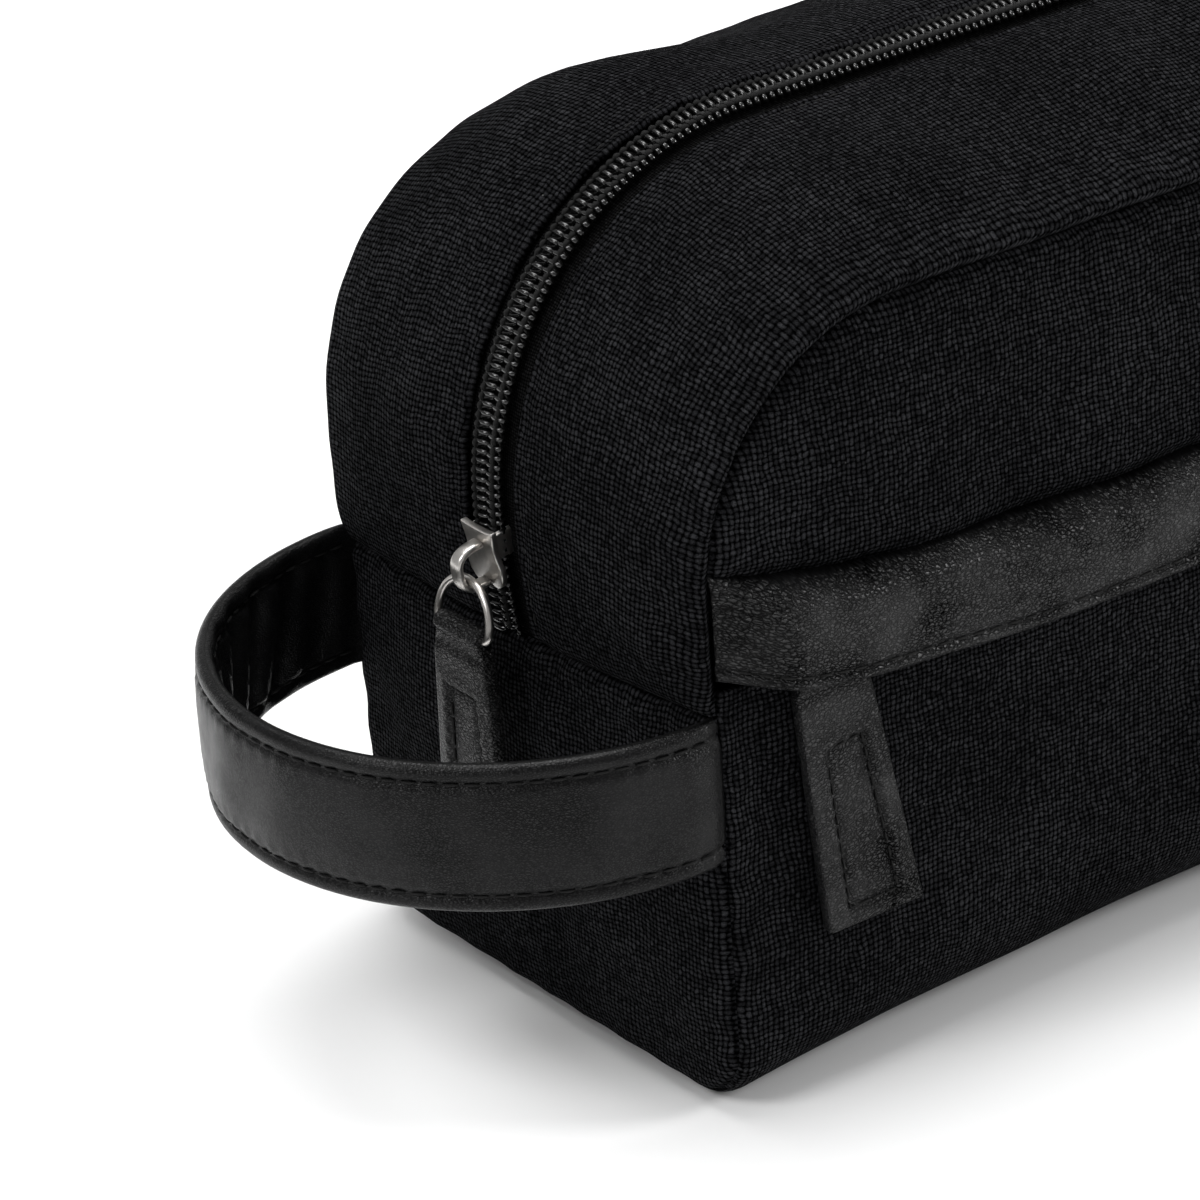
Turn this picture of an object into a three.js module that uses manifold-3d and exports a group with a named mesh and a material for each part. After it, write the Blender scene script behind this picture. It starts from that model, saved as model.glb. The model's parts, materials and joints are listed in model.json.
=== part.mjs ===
// A shaving kit bag in canvas: a boxy pouch with a domed top, a main zip that runs from end to end
// over the top, a flat zipped pocket behind a leather band on its front, and a leather handle loop
// on its left end. Millimetres. +X runs to the right end, -Y is the front, +Z is up, and the origin
// is the middle of the flat base.
import * as THREE from 'three';
import { mergeVertices } from 'three/addons/utils/BufferGeometryUtils.js';
import Module from 'manifold-3d';

const wasm = await Module();
wasm.setup();

// ---------- driving dimensions ----------
const LENGTH = 254; // over the two end panels
const DEPTH = 101; // front face to back face
const TOP_SEAM_Z = 129.4; // seam between the front or back panel and the domed top
const TOP_Z = 143.5; // canvas beside the main zip, in the middle of the bag
const CROSS_SEAM_Z = 70; // seam across each end, above which the zip's canvas begins
const END_SEAM_X = 126; // the four upright seams
const SEAM_RADIUS = 39.5; // rounded upper corners of the front and back panels
const ZIP_RADIUS = 52; // bend of the main zip over each end
const BASE_RADIUS = 14; // rounded long edges of the base

const END_BULGE = 3.4; // how far the zip's bend stands out past the end panels
const GAP = 0.3; // clear of a neighbouring piece
const CANVAS = 1.2;
const LINING = 0.8;
const TAPE = 0.6;
const LEATHER = 1.4;
const SEAM_INSET = 1.8; // a panel's edge stays this far inside its seam line

const CANVAS_EDGE = 6.5; // folded canvas edges, each side of the main zip's middle
const TAPE_EDGE = 13; // outer edge of a zip tape, from the zip's middle
const COIL_NEAR = 0.7; // a coil row, from the zip's middle
const COIL_FAR = 3.3;
const LINING_EDGE = 8.5;

// Heights above the canvas surface of what lies in a zip: the slider straddles coil and tape.
const COIL_LOW = -1.2;
const COIL_HIGH = 0.9;
const TAPE_HIGH = -1.5;
const LINING_HIGH = -2.5;
const ZIP_STOP = { near: 0.4, far: 2.4, coilStart: 3 }; // distances along the zip from its end
const SLIDER = { halfWidth: 4.5, tailHalfWidth: 4, halfLength: 5.2, corner: 1.5, notch: 0.8 };
const SLIDER_PLATE = { low: 1.5, high: 2.7 };
const SLIDER_FOOT = { low: -3.7, high: -2.7 };
const SLIDER_POST = { halfWidth: 0.4, head: -4.2, tail: -1 };
const SLIDER_FLANGE = { head: -3.7, tail: -0.2 };
const BITE = 0.2; // how far the slider's parts run into each other
const CROWN = { thickness: 1.2, halfWidth: 1.2, bend: 1.8, fillet: 0.6 };

const WIRE = 0.7; // radius of the ring's wire
const WIRE_ROOM = 0.35; // round the wire inside the tab's loop
const RING = { halfWidth: 6.8, corner: 1.2 };
const TAB = { width: 13.6, flare: 0.1, thickness: 2.4, shoulder: 2.8, corner: 1 };
const TAB_LOOP = { width: 11.4, radius: 1.9 };
const STITCH_BOX = { width: 8.6, length: 28.8, ribbon: 0.5 };
const THREAD = 0.3; // thickness of a row of stitching

// Where each slider stands, and its crown: its ends along the slider, and its inner height. The eye
// is where the ring's wire runs under the crown.
const MAIN_SLIDER_Z = 83.3;
const MAIN_CROWN = { head: -4.9, tail: 3, low: 7 };
const MAIN_EYE = { along: -2.4, height: 6 };
const MAIN_RING = { rise: 6.8, drop: 8.5 }; // rise: of its rounded top
const MAIN_RING_LEAN = THREE.MathUtils.degToRad(12);
const MAIN_TAB = { length: 43, boxTop: -10.8 }; // measured from the ring's bar
const POCKET_ZIP_Z = 80.5;
const POCKET_SLIDER_X = -107;
const POCKET_CROWN = { head: -3.8, tail: 3.8, low: 5.6 };
const POCKET_EYE = { along: 1, height: 4.2 };
const POCKET_RING = { rise: 3, drop: 5.4 };
const POCKET_TAB = { length: 46, boxTop: -13.9 };
const POCKET_TAB_TILT = THREE.MathUtils.degToRad(8);
const POCKET_DEPTH = 2; // how far the pocket zip lies behind the bag's front
const POCKET_BAG = { foot: 14, halfLength: 112, back: -44.4 };
const BAND = { low: 72, high: 89.5, foldHeight: 4.5, hem: 2, halfLength: 122.5 };
const LINING_FRONT = -43.4; // leaves room for the pocket bag
const LINING_GAP = 0.4; // between the canvas and the lining, along the back and the base
const HANDLE = { low: 45, high: 70, radius: 50.2, tail: 2.7, start: 8, seam: 2.7 };

const MIDDLE = new THREE.Vector3(0, 0, 60); // a point inside the bag, which every panel faces away from
const zipCentre = { x: LENGTH / 2 + END_BULGE - ZIP_RADIUS, z: TOP_Z - ZIP_RADIUS };
const seamCentre = { x: END_SEAM_X - SEAM_RADIUS, z: TOP_SEAM_Z - SEAM_RADIUS };
const gussetHalfDepth = DEPTH / 2 - GAP;
const flapHalfLength = zipCentre.x - GAP;
const zipStartAngle = Math.asin((CROSS_SEAM_Z + GAP - zipCentre.z) / ZIP_RADIUS);

// ---------- materials ----------
const material = (color, roughness, metalness = 0) =>
  new THREE.MeshStandardMaterial({ color, roughness, metalness });
const FINISH = {
  canvas: () => material(0x0d0d10, 0.95),
  leather: () => material(0x101011, 0.5),
  nylon: () => material(0x0a0a0b, 0.3),
  tape: () => material(0x0b0b0c, 0.85),
  lining: () => material(0x1b1b1e, 0.7),
  thread: () => material(0x08080a, 0.6),
  nickel: () => material(0x8f8c86, 0.3, 1),
};

const bag = new THREE.Group();
bag.name = 'shaving_kit_bag';

function addPiece(name, finish, geometry, parent = bag) {
  const mesh = new THREE.Mesh(geometry, FINISH[finish]());
  mesh.name = name;
  parent.add(mesh);
  return mesh;
}

// ---------- shape helpers ----------
const steps = (from, to, count) =>
  Array.from({ length: count + 1 }, (_, i) => from + ((to - from) * i) / count);

function closedGeometry(points, triangles) {
  const geometry = new THREE.BufferGeometry();
  geometry.setAttribute('position', new THREE.Float32BufferAttribute(points.flatMap((p) => p.toArray()), 3));
  geometry.setIndex(triangles);
  return geometry;
}

// A sheet of even thickness over the surface place(u, v). Its two faces lie `low` and `high` from
// the surface, measured away from the inside of the bag.
function sheet(us, vs, place, low, high) {
  const normalAt = (u, v) => {
    const step = 1e-4;
    const alongU = place(u + step, v).sub(place(u - step, v));
    const alongV = place(u, v + step).sub(place(u, v - step));
    return alongU.cross(alongV).normalize();
  };
  const midU = us[Math.floor(us.length / 2)];
  const midV = (vs[0] + vs[vs.length - 1]) / 2;
  const facing = Math.sign(normalAt(midU, midV).dot(place(midU, midV).sub(MIDDLE)));
  const points = [];
  for (const distance of [high, low]) {
    for (const u of us) {
      for (const v of vs) {
        points.push(place(u, v).addScaledVector(normalAt(u, v), facing * distance));
      }
    }
  }
  const rows = us.length;
  const columns = vs.length;
  const outer = (i, j) => i * columns + j;
  const inner = (i, j) => rows * columns + i * columns + j;
  const triangles = [];
  const quad = (a, b, c, d) => {
    triangles.push(...(facing > 0 ? [a, b, c, a, c, d] : [a, c, b, a, d, c]));
  };
  for (let i = 0; i < rows - 1; i++) {
    for (let j = 0; j < columns - 1; j++) {
      quad(outer(i, j), outer(i + 1, j), outer(i + 1, j + 1), outer(i, j + 1));
      quad(inner(i, j), inner(i, j + 1), inner(i + 1, j + 1), inner(i + 1, j));
    }
    quad(outer(i, 0), inner(i, 0), inner(i + 1, 0), outer(i + 1, 0));
    quad(outer(i, columns - 1), outer(i + 1, columns - 1), inner(i + 1, columns - 1), inner(i, columns - 1));
  }
  for (let j = 0; j < columns - 1; j++) {
    quad(outer(0, j), outer(0, j + 1), inner(0, j + 1), inner(0, j));
    quad(outer(rows - 1, j), inner(rows - 1, j), inner(rows - 1, j + 1), outer(rows - 1, j + 1));
  }
  return closedGeometry(points, triangles);
}

// An outline drawn in the XY plane, raised from z = low to z = high.
function raised(shape, low, high, curveSegments = 12) {
  const depth = high - low;
  const geometry = new THREE.ExtrudeGeometry(shape, { depth, bevelEnabled: false, curveSegments });
  return welded(geometry).translate(0, 0, low);
}

function block(x, y, z) {
  const geometry = new THREE.BoxGeometry(x[1] - x[0], y[1] - y[0], z[1] - z[0]);
  return geometry.translate((x[0] + x[1]) / 2, (y[0] + y[1]) / 2, (z[0] + z[1]) / 2);
}

// Shared corners become one vertex, and the slivers that this leaves with no area are dropped.
function welded(geometry) {
  const bare = geometry.clone();
  bare.deleteAttribute('normal');
  bare.deleteAttribute('uv');
  const merged = mergeVertices(bare, 1e-4);
  const corners = Array.from(merged.index.array);
  const kept = [];
  for (let i = 0; i < corners.length; i += 3) {
    const [a, b, c] = corners.slice(i, i + 3);
    if (a !== b && b !== c && c !== a) kept.push(a, b, c);
  }
  merged.setIndex(kept);
  return merged;
}

function solidOf(geometry) {
  const merged = welded(geometry);
  return new wasm.Manifold(new wasm.Mesh({
    numProp: 3,
    vertProperties: new Float32Array(merged.attributes.position.array),
    triVerts: new Uint32Array(merged.index.array),
  }));
}

function joined(...geometries) {
  const solid = geometries.map(solidOf).reduce((all, next) => all.add(next));
  const mesh = solid.getMesh();
  const geometry = new THREE.BufferGeometry();
  geometry.setAttribute('position', new THREE.BufferAttribute(new Float32Array(mesh.vertProperties), 3));
  geometry.setIndex(new THREE.BufferAttribute(new Uint32Array(mesh.triVerts), 1));
  return geometry;
}

// A round wire that follows a closed flat outline in the XY plane.
function wireLoop(outline, radius, sides = 8) {
  const points = [];
  const triangles = [];
  const count = outline.length;
  outline.forEach((point, i) => {
    const before = outline[(i + count - 1) % count];
    const after = outline[(i + 1) % count];
    const along = after.clone().sub(before).normalize();
    const outward = new THREE.Vector2(along.y, -along.x);
    for (let k = 0; k < sides; k++) {
      const turn = (2 * Math.PI * k) / sides;
      const reach = radius * Math.cos(turn);
      points.push(new THREE.Vector3(
        point.x + outward.x * reach, point.y + outward.y * reach, radius * Math.sin(turn)));
    }
  });
  for (let i = 0; i < count; i++) {
    for (let k = 0; k < sides; k++) {
      const a = i * sides + k;
      const b = i * sides + ((k + 1) % sides);
      const c = ((i + 1) % count) * sides + ((k + 1) % sides);
      const d = ((i + 1) % count) * sides + k;
      triangles.push(a, c, b, a, d, c);
    }
  }
  return closedGeometry(points, triangles);
}

// ---------- the bag's outer shape ----------
// Half the length of the front or back panel at a height: straight sides, rounded upper corners.
function panelHalfLength(z, inset) {
  const radius = SEAM_RADIUS - inset;
  const rise = Math.max(0, z - seamCentre.z);
  return seamCentre.x + Math.sqrt(Math.max(0, radius * radius - rise * rise));
}

// The line of a body panel's section in the YZ plane: down the front, across the base, up the back.
function wrapSection(front, back, base, radius, frontTop, backTop) {
  const path = new THREE.Path();
  path.moveTo(front, frontTop);
  path.lineTo(front, base + radius);
  path.absarc(front + radius, base + radius, radius, Math.PI, 1.5 * Math.PI, false);
  path.lineTo(back - radius, base);
  path.absarc(back - radius, base + radius, radius, 1.5 * Math.PI, 2 * Math.PI, false);
  path.lineTo(back, backTop);
  return path;
}

function wrapPiece(section, inset, thickness) {
  const place = (u, v) => {
    const { x: y, y: z } = section.getPoint(Math.min(1, Math.max(0, u)));
    const past = Math.max(0, -u, u - 1); // carries the section straight up past its ends
    return new THREE.Vector3(v * panelHalfLength(z, inset), y, z + past * DEPTH);
  };
  return sheet(steps(0, 1, 48), [-1, 1], place, -thickness, 0);
}

// The canvas that carries the main zip: `across` runs from 0 at the zip to 1 at the seam with the
// front or back panel.
const dome = (across) => 1 - across * across;

function topSurface(face) {
  return (x, across) => new THREE.Vector3(
    x, face * across * gussetHalfDepth, TOP_SEAM_Z + (TOP_Z - TOP_SEAM_Z) * dome(across));
}

// The same canvas where it turns down over an end: `along` runs from 0 at the cross seam to 1 on top.
const cornerSeam = new THREE.Path();
cornerSeam.moveTo(END_SEAM_X, CROSS_SEAM_Z + GAP);
cornerSeam.lineTo(END_SEAM_X, seamCentre.z);
cornerSeam.absarc(seamCentre.x, seamCentre.z, SEAM_RADIUS, 0, Math.PI / 2, false);
cornerSeam.lineTo(zipCentre.x, TOP_SEAM_Z);

function cornerSurface(side, face) {
  return (along, across) => {
    const angle = THREE.MathUtils.lerp(zipStartAngle, Math.PI / 2, along);
    const zip = new THREE.Vector2(
      zipCentre.x + ZIP_RADIUS * Math.cos(angle), zipCentre.z + ZIP_RADIUS * Math.sin(angle));
    const point = cornerSeam.getPoint(Math.min(1, Math.max(0, along))).lerp(zip, dome(across));
    return new THREE.Vector3(side * point.x, face * across * gussetHalfDepth, point.y);
  };
}

// ---------- canvas body ----------
function addBody() {
  const half = DEPTH / 2;
  const panelTop = TOP_SEAM_Z - SEAM_INSET;
  const pocketEdge = 6; // canvas edges stop this far above and below the pocket zip
  const wrap = wrapSection(-half, half, 0, BASE_RADIUS, POCKET_ZIP_Z - pocketEdge, panelTop);
  addPiece('main_wrap', 'canvas', wrapPiece(wrap, SEAM_INSET, CANVAS));

  const frontPlace = (z, v) => new THREE.Vector3(v * panelHalfLength(z, SEAM_INSET), -half, z);
  addPiece('front_upper_panel', 'canvas',
    sheet(steps(POCKET_ZIP_Z + pocketEdge, panelTop, 16), [-1, 1], frontPlace, -CANVAS, 0));

  for (const [name, side] of [['left', -1], ['right', 1]]) {
    const outline = new THREE.Shape();
    outline.moveTo(-half, CROSS_SEAM_Z - GAP);
    outline.lineTo(-half, BASE_RADIUS);
    outline.absarc(-half + BASE_RADIUS, BASE_RADIUS, BASE_RADIUS, Math.PI, 1.5 * Math.PI, false);
    outline.absarc(half - BASE_RADIUS, BASE_RADIUS, BASE_RADIUS, 1.5 * Math.PI, 2 * Math.PI, false);
    outline.lineTo(half, CROSS_SEAM_Z - GAP);
    const panel = raised(outline, 0, CANVAS).rotateX(Math.PI / 2).rotateZ(Math.PI / 2);
    const x = side > 0 ? LENGTH / 2 - CANVAS : -LENGTH / 2;
    addPiece(`${name}_end_panel`, 'canvas', panel.translate(x, 0, 0));
  }
}

// ---------- main zip ----------
// Each layer: where it begins and ends from the zip's middle, its lower and upper face as heights
// above the canvas surface, and how many flat strips follow its curve across.
const zipLayers = [
  {
    layer: 'canvas', finish: 'canvas', span: [CANVAS_EDGE, gussetHalfDepth],
    low: -CANVAS, high: 0, strips: 6,
  },
  {
    layer: 'zip_tape', finish: 'tape', span: [COIL_NEAR, TAPE_EDGE],
    low: TAPE_HIGH - TAPE, high: TAPE_HIGH, strips: 2,
  },
  {
    layer: 'zip_coil', finish: 'nylon', span: [COIL_NEAR, COIL_FAR],
    low: COIL_LOW, high: COIL_HIGH, strips: 1,
  },
  {
    layer: 'lining', finish: 'lining', span: [LINING_EDGE, gussetHalfDepth - 1.5],
    low: LINING_HIGH - LINING, high: LINING_HIGH, strips: 4,
  },
];
const acrossSteps = ({ span, strips }) => steps(span[0] / gussetHalfDepth, span[1] / gussetHalfDepth, strips);

function addTopFlaps() {
  for (const [faceName, face] of [['front', -1], ['back', 1]]) {
    const surface = topSurface(face);
    for (const piece of zipLayers) {
      const geometry = sheet(
        steps(-flapHalfLength, flapHalfLength, 1), acrossSteps(piece), surface, piece.low, piece.high);
      addPiece(`top_${faceName}_${piece.layer}`, piece.finish, geometry);
    }
  }
}

function addCorners() {
  const stopAngle = ZIP_STOP.coilStart / ZIP_RADIUS;
  for (const [sideName, side] of [['left', -1], ['right', 1]]) {
    for (const [faceName, face] of [['front', -1], ['back', 1]]) {
      const surface = cornerSurface(side, face);
      for (const piece of zipLayers) {
        const start = piece.layer === 'zip_coil' ? stopAngle / (Math.PI / 2 - zipStartAngle) : 0;
        const geometry = sheet(steps(start, 1, 14), acrossSteps(piece), surface, piece.low, piece.high);
        addPiece(`${sideName}_${faceName}_${piece.layer}`, piece.finish, geometry);
      }
    }
    const stop = block([-COIL_FAR, COIL_FAR], [ZIP_STOP.near, ZIP_STOP.far], [COIL_LOW, COIL_HIGH]);
    addPiece(`main_zip_stop_${sideName}`, 'nylon', stop, zipPlace(side, zipStartAngle));
  }
}

// A group on the main zip's bend: local X across the zip, local Y up along it, local Z outwards.
function zipPlace(side, angle) {
  const place = new THREE.Group();
  const outwards = new THREE.Vector3(side * Math.cos(angle), 0, Math.sin(angle));
  const along = new THREE.Vector3(-side * Math.sin(angle), 0, Math.cos(angle));
  const basis = new THREE.Matrix4().makeBasis(along.clone().cross(outwards), along, outwards);
  place.setRotationFromMatrix(basis);
  place.position.copy(outwards).multiplyScalar(ZIP_RADIUS);
  place.position.x += side * zipCentre.x;
  place.position.z += zipCentre.z;
  bag.add(place);
  return place;
}

// ---------- sliders, rings and pulls ----------
function sliderOutline() {
  const { halfWidth, tailHalfWidth, halfLength, corner, notch } = SLIDER;
  const waist = halfLength / 3;
  const shape = new THREE.Shape();
  shape.moveTo(-tailHalfWidth, halfLength);
  shape.quadraticCurveTo(-tailHalfWidth, waist, -halfWidth, 0);
  shape.lineTo(-halfWidth, -halfLength + corner);
  shape.quadraticCurveTo(-halfWidth, -halfLength, -halfWidth + corner, -halfLength);
  shape.lineTo(-notch, -halfLength + notch);
  shape.lineTo(notch, -halfLength + notch);
  shape.lineTo(halfWidth - corner, -halfLength);
  shape.quadraticCurveTo(halfWidth, -halfLength, halfWidth, -halfLength + corner);
  shape.lineTo(halfWidth, 0);
  shape.quadraticCurveTo(tailHalfWidth, waist, tailHalfWidth, halfLength);
  return shape;
}

function sliderBody() {
  const near = COIL_FAR + 1.5 * GAP;
  const far = SLIDER.halfWidth;
  const into = SLIDER_PLATE.low + BITE;
  const post = SLIDER_POST;
  const flange = (side) => block(
    side > 0 ? [near, far] : [-far, -near],
    [SLIDER_FLANGE.head, SLIDER_FLANGE.tail],
    [TAPE_HIGH + 2 * GAP, into]);
  return joined(
    raised(sliderOutline(), SLIDER_PLATE.low, SLIDER_PLATE.high, 6),
    raised(sliderOutline(), SLIDER_FOOT.low, SLIDER_FOOT.high, 6),
    block([-post.halfWidth, post.halfWidth], [post.head, post.tail], [SLIDER_FOOT.high - BITE, into]),
    flange(-1),
    flange(1));
}

// A strap bent over the slider, along local Y, that leaves an eye for the ring.
function crown({ head: from, tail: to, low }) {
  const { thickness: leg, halfWidth, bend, fillet } = CROWN;
  const high = low + leg;
  const foot = SLIDER_PLATE.high + GAP;
  const shape = new THREE.Shape();
  shape.moveTo(from, foot);
  shape.lineTo(from, high - bend);
  shape.quadraticCurveTo(from, high, from + bend, high);
  shape.lineTo(to - bend, high);
  shape.quadraticCurveTo(to, high, to, high - bend);
  shape.lineTo(to, foot);
  shape.lineTo(to - leg, foot);
  shape.lineTo(to - leg, low - fillet);
  shape.lineTo(to - leg - fillet, low);
  shape.lineTo(from + leg + fillet, low);
  shape.lineTo(from + leg, low - fillet);
  shape.lineTo(from + leg, foot);
  // the outline's X and Y become the slider's Y and Z
  return raised(shape, -halfWidth, halfWidth, 5).rotateX(Math.PI / 2).rotateZ(Math.PI / 2);
}

// The ring hangs along -Y from its rounded top, which passes through the origin, to a straight bar.
function wireRing({ rise, drop }) {
  const { halfWidth, corner } = RING;
  const outline = new THREE.Path();
  outline.absellipse(0, -rise, halfWidth, rise, 0, Math.PI, false);
  outline.lineTo(-halfWidth, -drop + corner);
  outline.absarc(-halfWidth + corner, -drop + corner, corner, Math.PI, 1.5 * Math.PI, false);
  outline.lineTo(halfWidth - corner, -drop);
  outline.absarc(halfWidth - corner, -drop + corner, corner, 1.5 * Math.PI, 2 * Math.PI, false);
  outline.closePath();
  return wireLoop(outline.getSpacedPoints(40).slice(0, -1), WIRE);
}

// A leather tab folded round the ring's bar, which passes through the origin along X.
function pullTab(length) {
  const { width, flare, thickness, shoulder, corner } = TAB;
  const { width: loopWidth, radius: loopRadius } = TAB_LOOP;
  const half = thickness / 2;
  const loopFoot = -shoulder - 1; // runs a little way into the tab
  const section = new THREE.Shape();
  section.moveTo(-half, loopFoot);
  section.lineTo(-half, -Math.sqrt(loopRadius ** 2 - half ** 2));
  const tangent = Math.asin(half / loopRadius);
  section.absarc(0, 0, loopRadius, 1.5 * Math.PI - tangent, -0.5 * Math.PI + tangent, true);
  section.lineTo(half, loopFoot);
  const hole = new THREE.Path();
  hole.absarc(0, 0, WIRE + WIRE_ROOM, 0, 2 * Math.PI, false);
  section.holes.push(hole);
  // the section's X and Y become the tab's Z and Y
  const loop = raised(section, -loopWidth / 2, loopWidth / 2, 10).rotateY(Math.PI / 2);
  const body = new THREE.Shape();
  const low = -length + corner;
  const neck = width / 2;
  const foot = neck + (flare * length) / 2; // the tab widens towards its foot
  body.moveTo(-neck, -shoulder);
  body.lineTo(-foot, low);
  body.quadraticCurveTo(-foot, -length, -foot + corner, -length);
  body.lineTo(foot - corner, -length);
  body.quadraticCurveTo(foot, -length, foot, low);
  body.lineTo(neck, -shoulder);
  return joined(loop, raised(body, -half, half, 4));
}

// The stitched box on a tab's face, as one flat ribbon.
function tabStitching(top) {
  const { width, length, ribbon } = STITCH_BOX;
  const frame = new THREE.Shape();
  const rectangle = (path, inset) => {
    path.moveTo(-width / 2 + inset, top - inset);
    path.lineTo(-width / 2 + inset, top - length + inset);
    path.lineTo(width / 2 - inset, top - length + inset);
    path.lineTo(width / 2 - inset, top - inset);
    path.closePath();
  };
  rectangle(frame, 0);
  const hole = new THREE.Path();
  rectangle(hole, ribbon);
  frame.holes.push(hole);
  const face = TAB.thickness / 2 + GAP;
  return raised(frame, face, face + THREAD);
}

// The tab hangs straight down from a ring that may lean outwards.
function addRingAndPull(prefix, eye, ring, tab, lean = 0) {
  addPiece(`${prefix}_ring`, 'nickel', wireRing(ring), eye);
  const bar = new THREE.Group();
  bar.position.y = -ring.drop;
  bar.rotation.x = lean;
  eye.add(bar);
  addPiece(`${prefix}_pull_tab`, 'leather', pullTab(tab.length), bar);
  addPiece(`${prefix}_pull_stitching`, 'thread', tabStitching(tab.boxTop), bar);
}

function addMainSlider() {
  const angle = Math.asin((MAIN_SLIDER_Z - zipCentre.z) / ZIP_RADIUS);
  const slider = zipPlace(-1, angle);
  addPiece('main_slider_body', 'nickel', sliderBody(), slider);
  addPiece('main_slider_crown', 'nickel', crown(MAIN_CROWN), slider);
  const eye = new THREE.Group();
  eye.position.set(0, MAIN_EYE.along, MAIN_EYE.height);
  eye.rotation.x = angle - MAIN_RING_LEAN; // upright, but for the ring's lean
  slider.add(eye);
  addRingAndPull('main', eye, MAIN_RING, MAIN_TAB, MAIN_RING_LEAN);
}

function addPocketSlider() {
  const slider = new THREE.Group();
  // local X points down, local Y to the right along the zip, and local Z out of the front
  slider.setRotationFromMatrix(new THREE.Matrix4().makeBasis(
    new THREE.Vector3(0, 0, -1), new THREE.Vector3(1, 0, 0), new THREE.Vector3(0, -1, 0)));
  slider.position.set(POCKET_SLIDER_X, pocketZipY, POCKET_ZIP_Z);
  bag.add(slider);
  addPiece('pocket_slider_body', 'nickel', sliderBody(), slider);
  addPiece('pocket_slider_crown', 'nickel', crown(POCKET_CROWN).rotateZ(Math.PI / 2), slider);
  const eye = new THREE.Group();
  eye.position.set(POCKET_EYE.along, 0, POCKET_EYE.height);
  eye.rotation.z = Math.PI / 2 + POCKET_TAB_TILT;
  slider.add(eye);
  addRingAndPull('pocket', eye, POCKET_RING, POCKET_TAB);
}

// ---------- front pocket ----------
const pocketZipY = -DEPTH / 2 + POCKET_DEPTH;

function addPocket() {
  const halfLength = BAND.halfLength - POCKET_DEPTH;
  const coilHalfLength = halfLength - ZIP_STOP.coilStart - 1;
  for (const [name, side] of [['upper', 1], ['lower', -1]]) {
    const strip = (near, far, low, high) => block(
      [-halfLength, halfLength],
      [pocketZipY - high, pocketZipY - low],
      side > 0 ? [POCKET_ZIP_Z + near, POCKET_ZIP_Z + far] : [POCKET_ZIP_Z - far, POCKET_ZIP_Z - near]);
    addPiece(`pocket_zip_tape_${name}`, 'tape', strip(COIL_NEAR, TAPE_EDGE, TAPE_HIGH - TAPE, TAPE_HIGH));
    addPiece(`pocket_zip_coil_${name}`, 'nylon',
      strip(COIL_NEAR, COIL_FAR, COIL_LOW, COIL_HIGH).scale(coilHalfLength / halfLength, 1, 1));
  }
  for (const [name, side] of [['left', -1], ['right', 1]]) {
    const near = coilHalfLength + GAP;
    const far = near + ZIP_STOP.far - ZIP_STOP.near;
    addPiece(`pocket_zip_stop_${name}`, 'nylon', block(
      side > 0 ? [near, far] : [-far, -near],
      [pocketZipY - COIL_HIGH, pocketZipY - COIL_LOW],
      [POCKET_ZIP_Z - COIL_FAR, POCKET_ZIP_Z + COIL_FAR]));
  }

  // a bag of lining folded at its foot: its front layer meets the lower tape, its back layer the upper
  const front = pocketZipY - TAPE_HIGH;
  const { foot, back } = POCKET_BAG;
  const section = new THREE.Shape();
  const bend = (back - front + LINING) / 2;
  section.moveTo(front, POCKET_ZIP_Z - TAPE_EDGE - GAP);
  section.lineTo(front, foot + bend);
  section.absarc(front + bend, foot + bend, bend, Math.PI, 2 * Math.PI, false);
  section.lineTo(back + LINING, POCKET_ZIP_Z + TAPE_EDGE);
  section.lineTo(back, POCKET_ZIP_Z + TAPE_EDGE);
  section.lineTo(back, foot + bend);
  section.absarc(front + bend, foot + bend, bend - LINING, 0, Math.PI, true);
  section.lineTo(front + LINING, POCKET_ZIP_Z - TAPE_EDGE - GAP);
  addPiece('pocket_bag', 'lining', alongX(section, POCKET_BAG.halfLength));
}

// An outline in the YZ plane, drawn out along X to both sides of the middle.
function alongX(section, halfLength) {
  return raised(section, -halfLength, halfLength).rotateX(Math.PI / 2).rotateZ(Math.PI / 2);
}

// The band hangs flat in front of the zip, below the fold that is sewn to the upper panel.
function addBand() {
  const panel = -DEPTH / 2 - GAP;
  const crownTop = POCKET_CROWN.low + CROWN.thickness;
  const face = pocketZipY - crownTop - GAP; // the band's inner face, clear of the slider's crown
  const { low, high, foldHeight, halfLength } = BAND;
  const foldLow = high - foldHeight;
  const along = [-halfLength, halfLength];
  addPiece('zip_flap_band', 'leather', block(along, [face - LEATHER, face], [low, foldLow - GAP]));
  const fold = new THREE.Shape();
  fold.moveTo(panel, high - LEATHER);
  fold.lineTo(panel, high);
  fold.lineTo(face - LEATHER, foldLow + LEATHER);
  fold.lineTo(face - LEATHER, foldLow);
  fold.lineTo(face, foldLow);
  addPiece('zip_flap_fold', 'leather', alongX(fold, halfLength));
  const outside = face - LEATHER - GAP;
  const hem = low + BAND.hem;
  addPiece('band_stitching', 'thread', block(along, [outside - THREAD, outside], [hem, hem + 2 * THREAD]));
}

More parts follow.
